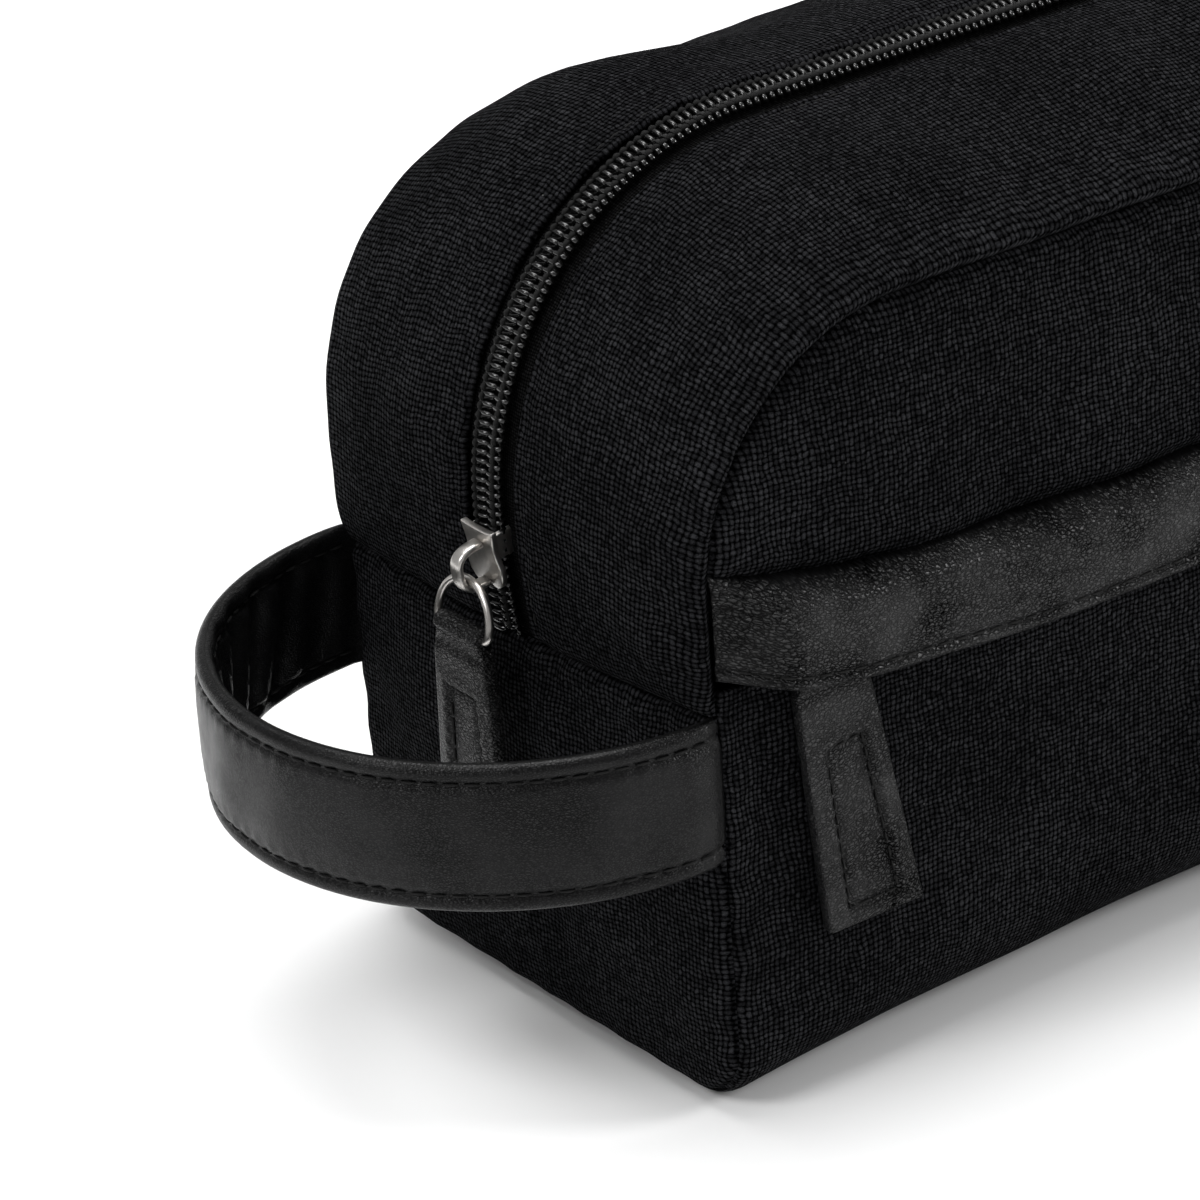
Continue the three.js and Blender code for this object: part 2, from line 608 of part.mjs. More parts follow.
// ---------- lining of the main compartment ----------
function addLining() {
  const front = LINING_FRONT;
  const back = DEPTH / 2 - CANVAS - LINING_GAP;
  const base = CANVAS + LINING_GAP;
  const radius = BASE_RADIUS - 2;
  const inset = SEAM_INSET + 2.4;
  const top = TOP_SEAM_Z - 5;
  const wrap = wrapSection(front, back, base, radius, top, top);
  addPiece('lining_wrap', 'lining', wrapPiece(wrap, inset, LINING));
  const low = base + LINING + GAP;
  for (const [name, side] of [['left', -1], ['right', 1]]) {
    const x = side * (END_SEAM_X - inset + LINING / 2 + 2 * GAP);
    const section = new THREE.Shape();
    section.moveTo(front, CROSS_SEAM_Z - 2);
    section.lineTo(front, low + radius);
    section.absarc(front + radius, low + radius, radius, Math.PI, 1.5 * Math.PI, false);
    section.absarc(back - radius, low + radius, radius, 1.5 * Math.PI, 2 * Math.PI, false);
    section.lineTo(back, CROSS_SEAM_Z - 2);
    addPiece(`lining_${name}_end`, 'lining', alongX(section, LINING / 2).translate(x, 0, 0));
  }
}

// ---------- handle ----------
function addHandle() {
  const { low, high, radius, tail, start, seam } = HANDLE;
  const endX = -LENGTH / 2 - GAP;
  const startAngle = Math.asin(start / radius);
  const strap = (outerRadius, thickness, bottom, top) => {
    const arc = new THREE.Shape();
    arc.absarc(0, 0, outerRadius, Math.PI / 2 + startAngle, 1.5 * Math.PI - startAngle, false);
    arc.absarc(0, 0, outerRadius - thickness, 1.5 * Math.PI - startAngle, Math.PI / 2 + startAngle, true);
    return raised(arc, bottom, top, 24).translate(endX, 0, 0);
  };
  addPiece('handle_outer_leather', 'leather', strap(radius, LEATHER, low, high));
  addPiece('handle_inner_leather', 'leather', strap(radius - LEATHER - GAP, LEATHER - 0.1, low, high));
  const row = (bottom) => strap(radius + GAP + THREAD, THREAD, bottom, bottom + 2 * THREAD);
  addPiece('handle_upper_stitching', 'thread', row(high - seam - 2 * THREAD));
  addPiece('handle_lower_stitching', 'thread', row(low + seam));
  const inside = radius - 2 * LEATHER - GAP + 0.1;
  addPiece('handle_front_tail', 'leather', block([endX - tail, endX], [-radius, -inside], [low, high]));
  addPiece('handle_back_tail', 'leather', block([endX - tail, endX], [inside, radius], [low, high]));
}

addBody();
addTopFlaps();
addCorners();
addMainSlider();
addPocket();
addPocketSlider();
addBand();
addLining();
addHandle();

export default bag;
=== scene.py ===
# The looks of a black canvas shaving kit bag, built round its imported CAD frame. Lengths inside the
# shape functions are in millimetres, in the frame's own axes, and become metres when a mesh is made.
import json
import math

import bmesh
import bpy
import numpy as np
from mathutils import Matrix, Vector


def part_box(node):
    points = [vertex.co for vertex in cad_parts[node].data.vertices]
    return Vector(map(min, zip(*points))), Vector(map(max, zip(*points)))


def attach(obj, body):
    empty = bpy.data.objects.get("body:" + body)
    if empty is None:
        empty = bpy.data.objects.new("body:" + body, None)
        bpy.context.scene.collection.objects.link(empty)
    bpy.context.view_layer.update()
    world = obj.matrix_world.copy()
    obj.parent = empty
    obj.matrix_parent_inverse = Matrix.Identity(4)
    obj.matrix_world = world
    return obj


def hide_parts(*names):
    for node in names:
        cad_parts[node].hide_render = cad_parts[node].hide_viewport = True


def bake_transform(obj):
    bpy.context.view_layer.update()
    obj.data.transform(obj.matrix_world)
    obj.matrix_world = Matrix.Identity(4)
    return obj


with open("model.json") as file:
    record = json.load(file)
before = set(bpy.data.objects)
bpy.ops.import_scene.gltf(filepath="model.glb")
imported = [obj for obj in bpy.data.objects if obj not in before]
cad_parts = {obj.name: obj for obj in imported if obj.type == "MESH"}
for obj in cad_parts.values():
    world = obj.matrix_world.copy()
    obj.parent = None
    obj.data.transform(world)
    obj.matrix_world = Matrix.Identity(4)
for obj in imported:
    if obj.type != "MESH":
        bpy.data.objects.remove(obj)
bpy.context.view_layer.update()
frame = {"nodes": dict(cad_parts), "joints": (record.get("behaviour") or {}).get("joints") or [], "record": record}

MM = 0.001


def box_mm(node):
    """Lowest and highest corner of a CAD node, in millimetres."""
    low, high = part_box(node)
    return np.array(low) * 1000, np.array(high) * 1000


# ---------------------------------------------------------------- driving dimensions
HALF_DEPTH = box_mm("left_end_panel")[1][1]
CROSS_SEAM_Z = 70.0  # seam across each end
TOP_SEAM_Z = 129.4  # seam between front or back panel and the domed top
TOP_Z = 143.5  # canvas beside the main zip
SEAM_X = 126.0  # the four upright seams
SEAM_RADIUS = 39.5  # rounded upper corners of the front and back panels
ZIP_RADIUS = 52.0  # bend of the main zip over each end
ZIP_BEND_X = 78.4  # where that bend begins
ZIP_CENTRE_Z = TOP_Z - ZIP_RADIUS
ZIP_START = math.asin((CROSS_SEAM_Z - ZIP_CENTRE_Z) / ZIP_RADIUS)
BEND_LENGTH = ZIP_RADIUS * (math.pi / 2 - ZIP_START)
ZIP_LENGTH = ZIP_BEND_X + BEND_LENGTH  # from the bag's middle to the seam across an end
SLACK = 0.6  # how much of the bend's curve is left below its middle
CROSS_SEAM_DROP = 3.2  # how much lower the seam across an end lies at the back
LIP = 2.3  # how far the gusset's canvas rolls over its seam with the front or back panel
SEAM_CENTRE = (SEAM_X - SEAM_RADIUS, TOP_SEAM_Z - SEAM_RADIUS)
SEAM_DIP = 2.2  # how deep the valley of a seam lies inside its corner
SHOULDER = 3.4  # distance from a seam over which the canvas rises out of the valley
TOP_LEAN = math.radians(29)  # slope of the domed top where it meets the front or back panel
CANVAS = 1.1  # thickness
LINING = 0.5
CANVAS_EDGE = 6.5  # folded canvas edges, each side of the main zip's middle
TOPSTITCH = 2.2  # from the folded edge
COIL_PITCH = 1.5
COIL_WIRE = 0.45
COIL_ROW_Y, COIL_HALF_WIDTH = 1.72, 1.5  # of one row, from the zip's middle line
COIL_SUNK, COIL_HALF_HEIGHT = 0.15, 0.62
BASE_RADIUS_END = 13.0
BASE_RADIUS_MIDDLE = 24.0
UPPER_FRONT_BULGE = 3.0
POCKET_BULGE = 0.8  # kept low, because the pull hangs against it
TAB_SWEEP = 0.3  # the pocket's face bulges no further where the tab sweeps over it
HOLLOW, HOLLOW_X = 1.8, 117.0  # the pocket's face is drawn in beside its left seam
BACK_BULGE = 3.2
END_BULGE = 2.4
FLAP_X, FLAP_END_X = 46.0, 106.0  # the top swings whole up to the first, and not past the second
FOLD_Y, FOLD_Z = 47.4, 127.0  # where the fold inside a top seam leaves the panel
FOLD_ACROSS, FOLD_RISE, FOLD_TURN = 1.9, 2.2, 2.9  # and how it turns from there to the strip
BAND_TOP = box_mm("zip_flap_fold")[1][2]
BAND_LOW = box_mm("zip_flap_band")[0][2]
BAND_HEIGHT = BAND_TOP - BAND_LOW
BAND_HEM = 2.3  # stitch line above the band's lower edge
BAND_Y = box_mm("zip_flap_band")[0][1]
POCKET_ZIP_Z = (box_mm("pocket_zip_coil_upper")[0][2] + box_mm("pocket_zip_coil_lower")[1][2]) / 2
POCKET_EDGE = 6.5  # folded canvas edges, above and below the pocket's zip
LINING_INSET = 2.2
LINING_FRONT = 43.4  # the lining passes behind the pocket's own bag
HANDLE_LOW, HANDLE_HIGH = box_mm("handle_outer_leather")[0][2], box_mm("handle_outer_leather")[1][2]
HANDLE_ROOT_X = box_mm("handle_front_tail")[1][0]
HANDLE_RADIUS = 50.2  # outer face of the loop, in plan
HANDLE_ROWS = 150
HANDLE_FIXED = (-0.1285, 0, 0.0575)  # metres: the strap keeps to the bag up to here
HANDLE_FREE = (-0.152, 0, 0.0575)  # metres: and swings whole from here on
MAIN_SLIDER_Z = 83.3
RING_HALF, RING_CORNER, WIRE = 6.8, 1.2, 0.68
MAIN_RING_RISE, POCKET_RING_RISE = 6.8, 3.0  # of each ring's rounded top
TAB_HALF = 1.25  # half the tab's thickness
LOOP_RADIUS = 1.9  # of the leather round a ring's bar
BOX_LENGTH = 28.8  # stitched box on a tab's face
BOX_GROOVE = 0.42  # how deep its stitches lie
MAIN_TAB = (43.0, -10.8)  # a tab's length and the top of its box, from the ring's bar
POCKET_TAB = (46.0, -13.9)
EDGE_STEPS = (0, 0.0025, 0.006, 0.01, 0.0145, 0.0205, 0.028, 0.04, 0.058)  # shares of a half width

# camera of the reference view: about 34 degrees left of the front and 26 degrees up
CAMERA_PLACE = (-659.865, -805.795, 537.524)
CAMERA_YAW, CAMERA_PITCH, CAMERA_TILT = math.radians(55.733), math.radians(25.714), math.radians(-4.318)
CAMERA_LENS, CAMERA_SENSOR = 205.905, 36.0

# lights: name, place and size in metres, and power in watts
LIGHTS = (
    ("overhead", (0.1, 0.25, 1.5), (1.2, 0.9), 19),
    ("key", (-1.2, -0.1, 1.2), (0.6, 0.6), 10),
    ("front_right", (1.3, -1.1, 0.9), (0.5, 0.5), 17),
)
LIGHT_TARGET = (0, 0, 0.07)
SURROUNDINGS = 0.38  # strength of the white studio round the bag
FLOOR_HALF = 6.0


# ---------------------------------------------------------------- materials
class Shader:
    """Builds one node material: each call adds a node and returns its output socket."""

    def __init__(self, name):
        self.material = bpy.data.materials.new(name)
        self.material.use_nodes = True
        self.tree = self.material.node_tree
        self.surface = self.tree.nodes["Principled BSDF"]

    def add(self, kind, output=0, settings=None, **inputs):
        node = self.tree.nodes.new(kind)
        for key, value in (settings or {}).items():
            setattr(node, key, value)
        for key, value in inputs.items():
            socket = node.inputs[int(key[1:])] if key[0] == "i" and key[1:].isdigit() else node.inputs[key]
            self.feed(socket, value)
        return node.outputs[output]

    def feed(self, socket, value):
        if isinstance(value, bpy.types.NodeSocket):
            self.tree.links.new(value, socket)
        else:
            socket.default_value = value

    def math(self, operation, a, b=0.0, c=0.0):
        return self.add("ShaderNodeMath", settings={"operation": operation}, i0=a, i1=b, i2=c)

    def product(self, first, *others):
        for other in others:
            first = self.math("MULTIPLY", first, other)
        return first

    def vector(self, operation, a, b):
        return self.add("ShaderNodeVectorMath", settings={"operation": operation}, i0=a, i1=b)

    def scaled(self, vector, factor):
        return self.vector("MULTIPLY", vector, (factor, factor, factor))

    def noise(self, vector, scale, detail=2.0, output="Fac"):
        node = self.tree.nodes.new("ShaderNodeTexNoise")
        self.feed(node.inputs["Vector"], vector)
        node.inputs["Scale"].default_value = scale
        node.inputs["Detail"].default_value = detail
        return node.outputs[output]

    def cells(self, vector, scale, feature="F1"):
        node = self.tree.nodes.new("ShaderNodeTexVoronoi")
        node.feature = feature
        self.feed(node.inputs["Vector"], vector)
        node.inputs["Scale"].default_value = scale
        return node.outputs["Distance"]

    def cloth_place(self):
        """Where a point lies on its own cloth or skin, in millimetres."""
        node = self.tree.nodes.new("ShaderNodeAttribute")
        node.attribute_name = "cloth"
        return node.outputs["Vector"]

    def between(self, value, low, high):
        """Spreads a value in 0..1 over low..high."""
        return self.math("MULTIPLY_ADD", value, high - low, low)

    def ramp(self, value, low, high):
        """A value carried linearly from low..high to 0..1, and held there outside."""
        return self.add("ShaderNodeMapRange", settings={"clamp": True}, i0=value, i1=low, i2=high)

    def mix(self, factor, a, b):
        node = self.tree.nodes.new("ShaderNodeMix")
        node.data_type = "RGBA"
        self.feed(node.inputs[0], factor)
        self.feed(node.inputs[6], a)
        self.feed(node.inputs[7], b)
        return node.outputs[2]

    def crest(self, value):
        """Rises from 0 to 1 and falls again over each whole step of a value."""
        return self.math("SINE", self.math("MULTIPLY", self.math("FRACT", value), math.pi))

    def rise(self, along, lane):
        """Height, -1 to 1, of a yarn that goes over one cell and under the next, by turns in each lane."""
        turn = self.math("SUBTRACT", self.math("SUBTRACT", along, 0.5), lane)
        return self.math("COSINE", self.math("MULTIPLY", turn, math.pi))

    def wander(self, vector, scale, detail, amount):
        """A vector moved about by smooth noise, by up to half of an amount each way."""
        shift = self.vector("SUBTRACT", self.noise(vector, scale, detail, "Color"), (0.5, 0.5, 0.5))
        return self.scaled(shift, amount)

    def bump(self, height, distance, strength):
        node = self.tree.nodes.new("ShaderNodeBump")
        node.inputs["Strength"].default_value = strength
        node.inputs["Distance"].default_value = distance
        self.feed(node.inputs["Height"], height)
        return node.outputs["Normal"]

    def finish(self, **values):
        """Feeds the surface's inputs, each named with underscores for spaces."""
        for key, value in values.items():
            self.feed(self.surface.inputs[key.replace("_", " ")], value)
        return self.material


def grey(value, tint=(1.0, 1.0, 1.0)):
    return (value * tint[0], value * tint[1], value * tint[2], 1.0)


def woven(name, pitch, dark, light, tint, roughness, depth, lint=0.0):
    """A plain weave of uneven yarns: in each cell either the warp or the weft lies on top."""
    s = Shader(name)
    place = s.cloth_place()
    bent = place
    for size, share in ((0.12, 2.2), (0.8, 0.6)):
        bent = s.vector("ADD", bent, s.wander(place, size, 1.0, pitch * share))
    cell = s.add("ShaderNodeSeparateXYZ", i0=s.scaled(bent, 1 / pitch)).node
    u, v = cell.outputs[0], cell.outputs[1]
    column, row = s.math("FLOOR", u), s.math("FLOOR", v)
    warp = s.product(s.math("POWER", s.crest(u), 0.7), s.between(s.rise(v, column), 0.5, 1.0))
    weft = s.product(s.math("POWER", s.crest(v), 0.7), s.between(s.rise(u, row), 0.44, -0.02))
    yarn_height = s.math("MAXIMUM", warp, weft)
    fibre = s.noise(place, 4.2 / pitch, 4.0)
    slub = s.add("ShaderNodeTexWhiteNoise", i0=s.add("ShaderNodeCombineXYZ", i0=column, i1=row))
    patch = s.noise(place, 0.035, 3.0)
    yarns = s.product(yarn_height, s.between(slub, 0.7, 1.1))
    height = s.math("ADD", yarns, s.between(fibre, -0.5, 0.5))
    # painted shade: the gaps between yarns are painted near black where shade falls, times each yarn's own random
    # tone (slub, fibre, patch)
    tone = s.product(
        s.ramp(yarn_height, 0.3, 1.0),
        s.between(slub, 0.45, 1.3),
        s.between(s.ramp(fibre, 0.3, 0.7), 0.2, 1.2),
        s.between(patch, 0.3, 1.8),
    )
    colour = s.mix(tone, grey(dark, tint), grey(light, tint))
    if lint:
        speck = s.ramp(s.cells(place, 0.23), 0.05, 0.02)
        rare = s.ramp(s.noise(place, 0.11, 1.0), 0.56, 0.6)
        colour = s.mix(s.product(speck, rare), colour, grey(lint))
    return s.finish(
        Base_Color=colour,
        Roughness=s.between(fibre, roughness - 0.08, roughness + 0.08),
        Normal=s.bump(height, depth * MM, 1.0),
        # painted shade: the gaps between yarns also reflect less
        Specular_IOR_Level=s.between(tone, 0.0, 0.12),
    )


def leather(name, tone, roughness, grain_size, grain, depth, shine):
    """Coated leather: shiny pebbles with creases between them, painted dark and dull as painted shade, smoother in
    places.
    """
    s = Shader(name)
    place = s.cloth_place()
    bent = s.vector("ADD", place, s.wander(place, 1.3, 2.0, 0.9 * grain_size))
    crease = s.cells(s.vector("MULTIPLY", bent, (0.8, 1.5, 1.0)), 1 / grain_size, "DISTANCE_TO_EDGE")
    stretch = s.ramp(s.noise(place, 0.07, 3.0), 0.3, 0.7)
    pebble = s.ramp(crease, 0.02, 0.3)
    creased = s.product(s.math("SUBTRACT", 1.0, pebble), s.between(stretch, 0.45, 1.0))
    smooth = s.math("MULTIPLY_ADD", creased, -grain, 1.0)
    worn = s.noise(place, 0.3, 3.0)
    fine = s.noise(place, 5.0, 2.0)
    height = s.math("ADD", smooth, s.between(fine, -0.15, 0.15))
    # painted shade: colour darkens in the creases, where shade falls, times a random tone of wear
    wear_and_crease_shade = s.product(smooth, s.between(worn, 0.6, 1.1))
    colour = s.mix(wear_and_crease_shade, grey(tone * 0.15), grey(tone * 1.6, (1, 1, 1.06)))
    return s.finish(
        Base_Color=colour,
        Roughness=s.between(worn, roughness - 0.08, roughness + 0.12),
        Normal=s.bump(height, depth * MM, 1.0),
        # painted shade: the creases also reflect less
        Specular_IOR_Level=s.between(smooth, -0.05, shine),
    )


def nickel(name):
    """Brushed satin nickel with slightly darker patches."""
    s = Shader(name)
    place = s.cloth_place()
    brushed = s.noise(s.vector("MULTIPLY", place, (5.0, 0.9, 5.0)), 1.6, 4.0)
    aged = s.ramp(s.noise(place, 0.4, 3.0), 0.45, 0.75)
    colour = s.mix(aged, grey(0.6, (1, 0.965, 0.92)), grey(0.42, (1, 0.955, 0.9)))
    return s.finish(
        Base_Color=colour,
        Metallic=1.0,
        Roughness=s.between(brushed, 0.24, 0.36),
        Normal=s.bump(brushed, 0.008 * MM, 0.4),
    )


def nylon(name):
    """Glossy black moulded filament with slight drawn streaks."""
    s = Shader(name)
    place = s.cloth_place()
    streak = s.noise(place, 1.3, 2.0)
    return s.finish(
        Base_Color=s.mix(streak, grey(0.002), grey(0.006)),
        Roughness=s.between(streak, 0.1, 0.2),
        Specular_IOR_Level=0.7,
        Normal=s.bump(s.noise(place, 4.0, 2.0), 0.01 * MM, 0.4),
    )


def thread(name):
    """Twisted sewing thread."""
    s = Shader(name)
    place = s.cloth_place()
    twist = s.add("ShaderNodeTexWave", output=1, Vector=place, Scale=1.6, Distortion=1.5)
    return s.finish(
        Base_Color=s.mix(twist, grey(0.002), grey(0.008)),
        Roughness=s.between(twist, 0.6, 0.8),
        Specular_IOR_Level=0.2,
        Normal=s.bump(twist, 0.05 * MM, 0.8),
    )


CANVAS_LOOK = woven("black_canvas", 0.92, dark=0.0006, light=0.037, tint=(1.0, 1.01, 1.12), roughness=0.9,
                    depth=0.7, lint=0.1)
TAPE_LOOK = woven("zip_tape_weave", 0.5, dark=0.0006, light=0.01, tint=(1.0, 1.0, 1.03), roughness=0.8,
                  depth=0.22)
LINING_LOOK = woven("lining_weave", 0.3, dark=0.004, light=0.02, tint=(1.0, 1.0, 1.05), roughness=0.5,
                    depth=0.05)
BAND_LOOK = leather("band_leather", 0.005, 0.28, grain_size=0.7, grain=1.0, depth=0.2, shine=0.4)
HANDLE_LOOK = leather("handle_leather", 0.003, 0.3, grain_size=0.45, grain=0.6, depth=0.08, shine=0.25)
TAB_LOOK = leather("tab_leather", 0.006, 0.3, grain_size=0.7, grain=1.0, depth=0.24, shine=0.42)
NICKEL_LOOK = nickel("antique_nickel")
NYLON_LOOK = nylon("nylon_coil")
THREAD_LOOK = thread("black_thread")


# ---------------------------------------------------------------- mesh helpers
def mesh_object(name, points, faces, material, cloth=None):
    """An object from points in millimetres. cloth gives each point's place on its own cloth."""
    points = np.asarray(points, float).reshape(-1, 3)
    mesh = bpy.data.meshes.new(name)
    mesh.from_pydata((points * MM).tolist(), [], [tuple(int(i) for i in f) for f in faces])
    mesh.update()
    mesh.polygons.foreach_set("use_smooth", [True] * len(mesh.polygons))
    layer = mesh.attributes.new("cloth", "FLOAT_VECTOR", "POINT")
    places = points if cloth is None else np.asarray(cloth, float).reshape(-1, 3)
    layer.data.foreach_set("vector", places.astype(np.float32).ravel())
    mesh.materials.append(material)
    obj = bpy.data.objects.new(name, mesh)
    bpy.context.scene.collection.objects.link(obj)
    return obj


def grid_faces(rows, columns, start=0, wrap=False, flip=False):
    """Four-sided faces between rows of points. wrap joins the last column to the first."""
    faces = []
    span = columns if wrap else columns - 1
    for i in range(rows - 1):
        for j in range(span):
            k = (j + 1) % columns
            quad = [start + i * columns + j, start + (i + 1) * columns + j,
                    start + (i + 1) * columns + k, start + i * columns + k]
            faces.append(quad[::-1] if flip else quad)
    return faces


def capped_faces(rows, columns, start=0):
    """Faces of a closed tube: rows of points that each run once round it, and a cap at both ends."""
    last = start + (rows - 1) * columns
    caps = [list(range(start, start + columns)), list(range(last, last + columns))[::-1]]
    return grid_faces(rows, columns, start, wrap=True) + caps


def normals_of(points):
    """Unit normals of a grid of points, along its first axis crossed with its second."""
    along = np.gradient(points, axis=0)
    across = np.gradient(points, axis=1)
    normal = np.cross(along, across)
    return normal / np.maximum(np.linalg.norm(normal, axis=2, keepdims=True), 1e-9)


def shell(name, points, cloth, thickness, material, facing):
    """A closed sheet. points are its outer face, and facing is 1 where the grid's normal points out."""
    inner = points - normals_of(points) * facing * thickness
    rows, columns = points.shape[:2]
    total = rows * columns
    faces = grid_faces(rows, columns, 0, flip=facing < 0)
    faces += grid_faces(rows, columns, total, flip=facing > 0)
    rim = [(i, 0) for i in range(rows)] + [(rows - 1, j) for j in range(1, columns)]
    rim += [(i, columns - 1) for i in range(rows - 2, -1, -1)]
    rim += [(0, j) for j in range(columns - 2, 0, -1)]
    ids = [i * columns + j for i, j in rim]
    for a, b in zip(ids, ids[1:] + ids[:1]):
        quad = [a, a + total, b + total, b]
        faces.append(quad[::-1] if facing < 0 else quad)
    both_faces = np.concatenate([points.reshape(-1, 3), inner.reshape(-1, 3)])
    places = np.concatenate([cloth, cloth + [0, 0, 0.001]])
    return mesh_object(name, both_faces, faces, material, places)


def tube(name, centres, reference, radius, material, sides, closed=False):
    """A round wire along centres. reference is a direction that it never follows, or one for each point."""
    centres = np.asarray(centres, float)
    if closed:
        along = np.roll(centres, -1, 0) - np.roll(centres, 1, 0)
    else:
        along = np.gradient(centres, axis=0)
    along /= np.linalg.norm(along, axis=1, keepdims=True)
    reference = np.broadcast_to(np.asarray(reference, float), centres.shape)
    side = reference - along * np.sum(reference * along, axis=1, keepdims=True)
    side /= np.linalg.norm(side, axis=1, keepdims=True)
    up = np.cross(along, side)
    turns = np.linspace(0, 2 * math.pi, sides, endpoint=False)
    ring = side[:, None] * np.cos(turns)[None, :, None] + up[:, None] * np.sin(turns)[None, :, None]
    points = centres[:, None] + ring * radius
    if closed:
        total = len(points) * sides
        faces = [[i % total for i in f] for f in grid_faces(len(points) + 1, sides, wrap=True)]
    else:
        faces = capped_faces(len(points), sides)
    return mesh_object(name, points, faces, material)


def spaced(low, high, step, near=(0.0, 0.35, 0.75, 1.2, 1.8, 2.8, 4.2, 6.0)):
    """Values from low to high, close together near both ends and a step apart between them."""
    fine = [d for d in near if d < (high - low) / 2]
    inside = np.arange(low + fine[-1] + step, high - fine[-1] - step / 2, step)
    return np.array([low + d for d in fine] + list(inside) + [high - d for d in fine[::-1]])


def shoulder(distance, depth, reach=SHOULDER):
    """How far a surface lies sunk at a distance from its sewn or folded edge."""
    inside = np.clip(1 - distance / reach, 0, 1)
    return depth * (1 - np.sqrt(1 - inside ** 2))


def ripple(u, v, seed, size):
    """Smooth unevenness of about one unit, from a few seeded waves."""
    waves = 9
    rng = np.random.default_rng(seed)
    total = np.zeros(np.broadcast(u, v).shape)
    for _ in range(waves):
        turn = rng.uniform(0, 2 * math.pi)
        length = size * rng.uniform(0.6, 1.8)
        phase = rng.uniform(0, 2 * math.pi)
        total = total + np.sin(2 * math.pi * (u * math.cos(turn) + v * math.sin(turn)) / length + phase)
    return total / math.sqrt(waves)


def pucker(along, distance, seed, period, reach=5.0):
    """Small gathers that run out from a sewn edge, and vanish on the edge itself."""
    gathers = np.sin(2 * math.pi * along / period + 1.5 * ripple(along, 0 * along, seed, 60))
    return np.exp(-distance / reach) * (1 - np.exp(-distance / 1.1)) * gathers


# ---------------------------------------------------------------- the bag's surfaces
def seam_outline(s):
    """Half outline of the top seam over one end: s runs from 0 at the cross seam to 1 on top."""
    upright = SEAM_CENTRE[1] - CROSS_SEAM_Z
    bend = SEAM_RADIUS * math.pi / 2
    flat = SEAM_CENTRE[0] - ZIP_BEND_X
    length = np.asarray(s) * (upright + bend + flat)
    angle = np.clip((length - upright) / SEAM_RADIUS, 0, math.pi / 2)
    x = SEAM_CENTRE[0] + SEAM_RADIUS * np.cos(angle) - np.clip(length - upright - bend, 0, None)
    z = SEAM_CENTRE[1] + SEAM_RADIUS * np.sin(angle) - np.clip(upright - length, 0, None)
    return x, z


def zip_outline(s):
    """Half outline of the zip over one end, which hangs almost straight below the level of its bend."""
    angle = ZIP_START + (math.pi / 2 - ZIP_START) * np.asarray(s)
    slack = np.where(angle < 0, SLACK * angle, angle)
    return ZIP_BEND_X + ZIP_RADIUS * np.cos(slack), ZIP_CENTRE_Z + ZIP_RADIUS * np.sin(angle)


def zip_lean(s):
    """Angle above the level of the zip's outward direction."""
    angle = ZIP_START + (math.pi / 2 - ZIP_START) * np.asarray(s)
    hanging = np.arctan2(SLACK * np.sin(SLACK * angle), np.cos(angle))
    return np.where(angle < 0, hanging, angle)


def cross_seam_drop(y):
    """The cross seam lies a little lower towards the back."""
    return CROSS_SEAM_DROP * (1 + y / HALF_DEPTH) / 2


def top_point(along, y):
    """Canvas of the domed top: along is the signed length over the zip from the bag's middle."""
    along, y = np.broadcast_arrays(np.asarray(along, float), np.asarray(y, float))
    side = np.where(along < 0, -1.0, 1.0)
    s = 1 - np.clip((np.abs(along) - ZIP_BEND_X) / BEND_LENGTH, 0, 1)
    dome = 1 - (y / HALF_DEPTH) ** 2
    seam_x, seam_z = seam_outline(s)
    zip_x, zip_z = zip_outline(s)
    bent_x = side * (seam_x + (zip_x - seam_x) * dome)
    x = np.where(np.abs(along) <= ZIP_BEND_X, along, bent_x)
    low = np.exp(-s * BEND_LENGTH / 22)
    return np.stack([x, y, seam_z + (zip_z - seam_z) * dome - cross_seam_drop(y) * low], -1)


def zip_frame(along):
    """Middle of the zip's canvas line, its outward direction and its direction of travel."""
    along = np.asarray(along, float)
    side = np.where(along < 0, -1.0, 1.0)
    s = 1 - np.clip((np.abs(along) - ZIP_BEND_X) / BEND_LENGTH, 0, 1)
    angle = zip_lean(s)
    zero = np.zeros_like(angle)
    outward = np.stack([side * np.cos(angle), zero, np.sin(angle)], -1)
    travel = np.stack([np.sin(angle), zero, -side * np.cos(angle)], -1)
    return top_point(along, 0 * along), outward, travel


def seam_inset(z):
    """Where the valley of the front or back seam lies at a height: along a panel, and behind it."""
    rise = np.clip((np.asarray(z, float) - CROSS_SEAM_Z) / (TOP_SEAM_Z - CROSS_SEAM_Z), 0, 1)
    lean = TOP_LEAN * rise ** 1.2
    half_angle = math.pi / 4 + lean / 2
    return SEAM_DIP * np.cos(half_angle), SEAM_DIP * np.sin(half_angle), lean


EDGE_INSET = float(seam_inset(0)[0])  # the same where two panels meet squarely


def inside_panel(x, z):
    """Distance from a point of the front or back panel to its nearest edge."""
    corner = (np.abs(x) > SEAM_CENTRE[0]) & (z > SEAM_CENTRE[1])
    to_corner = SEAM_RADIUS - np.hypot(np.abs(x) - SEAM_CENTRE[0], z - SEAM_CENTRE[1])
    to_sides = np.minimum(SEAM_X - np.abs(x), TOP_SEAM_Z - z)
    return np.maximum(np.where(corner, to_corner, to_sides) - seam_inset(z)[0], 0)


def panel_half_length(z, inset):
    """Half the length of a front or back panel at a height, up to an inset from its seam."""
    rise = np.clip(z - SEAM_CENTRE[1], 0, None)
    return SEAM_CENTRE[0] + np.sqrt(np.clip((SEAM_RADIUS - inset) ** 2 - rise ** 2, 0, None))


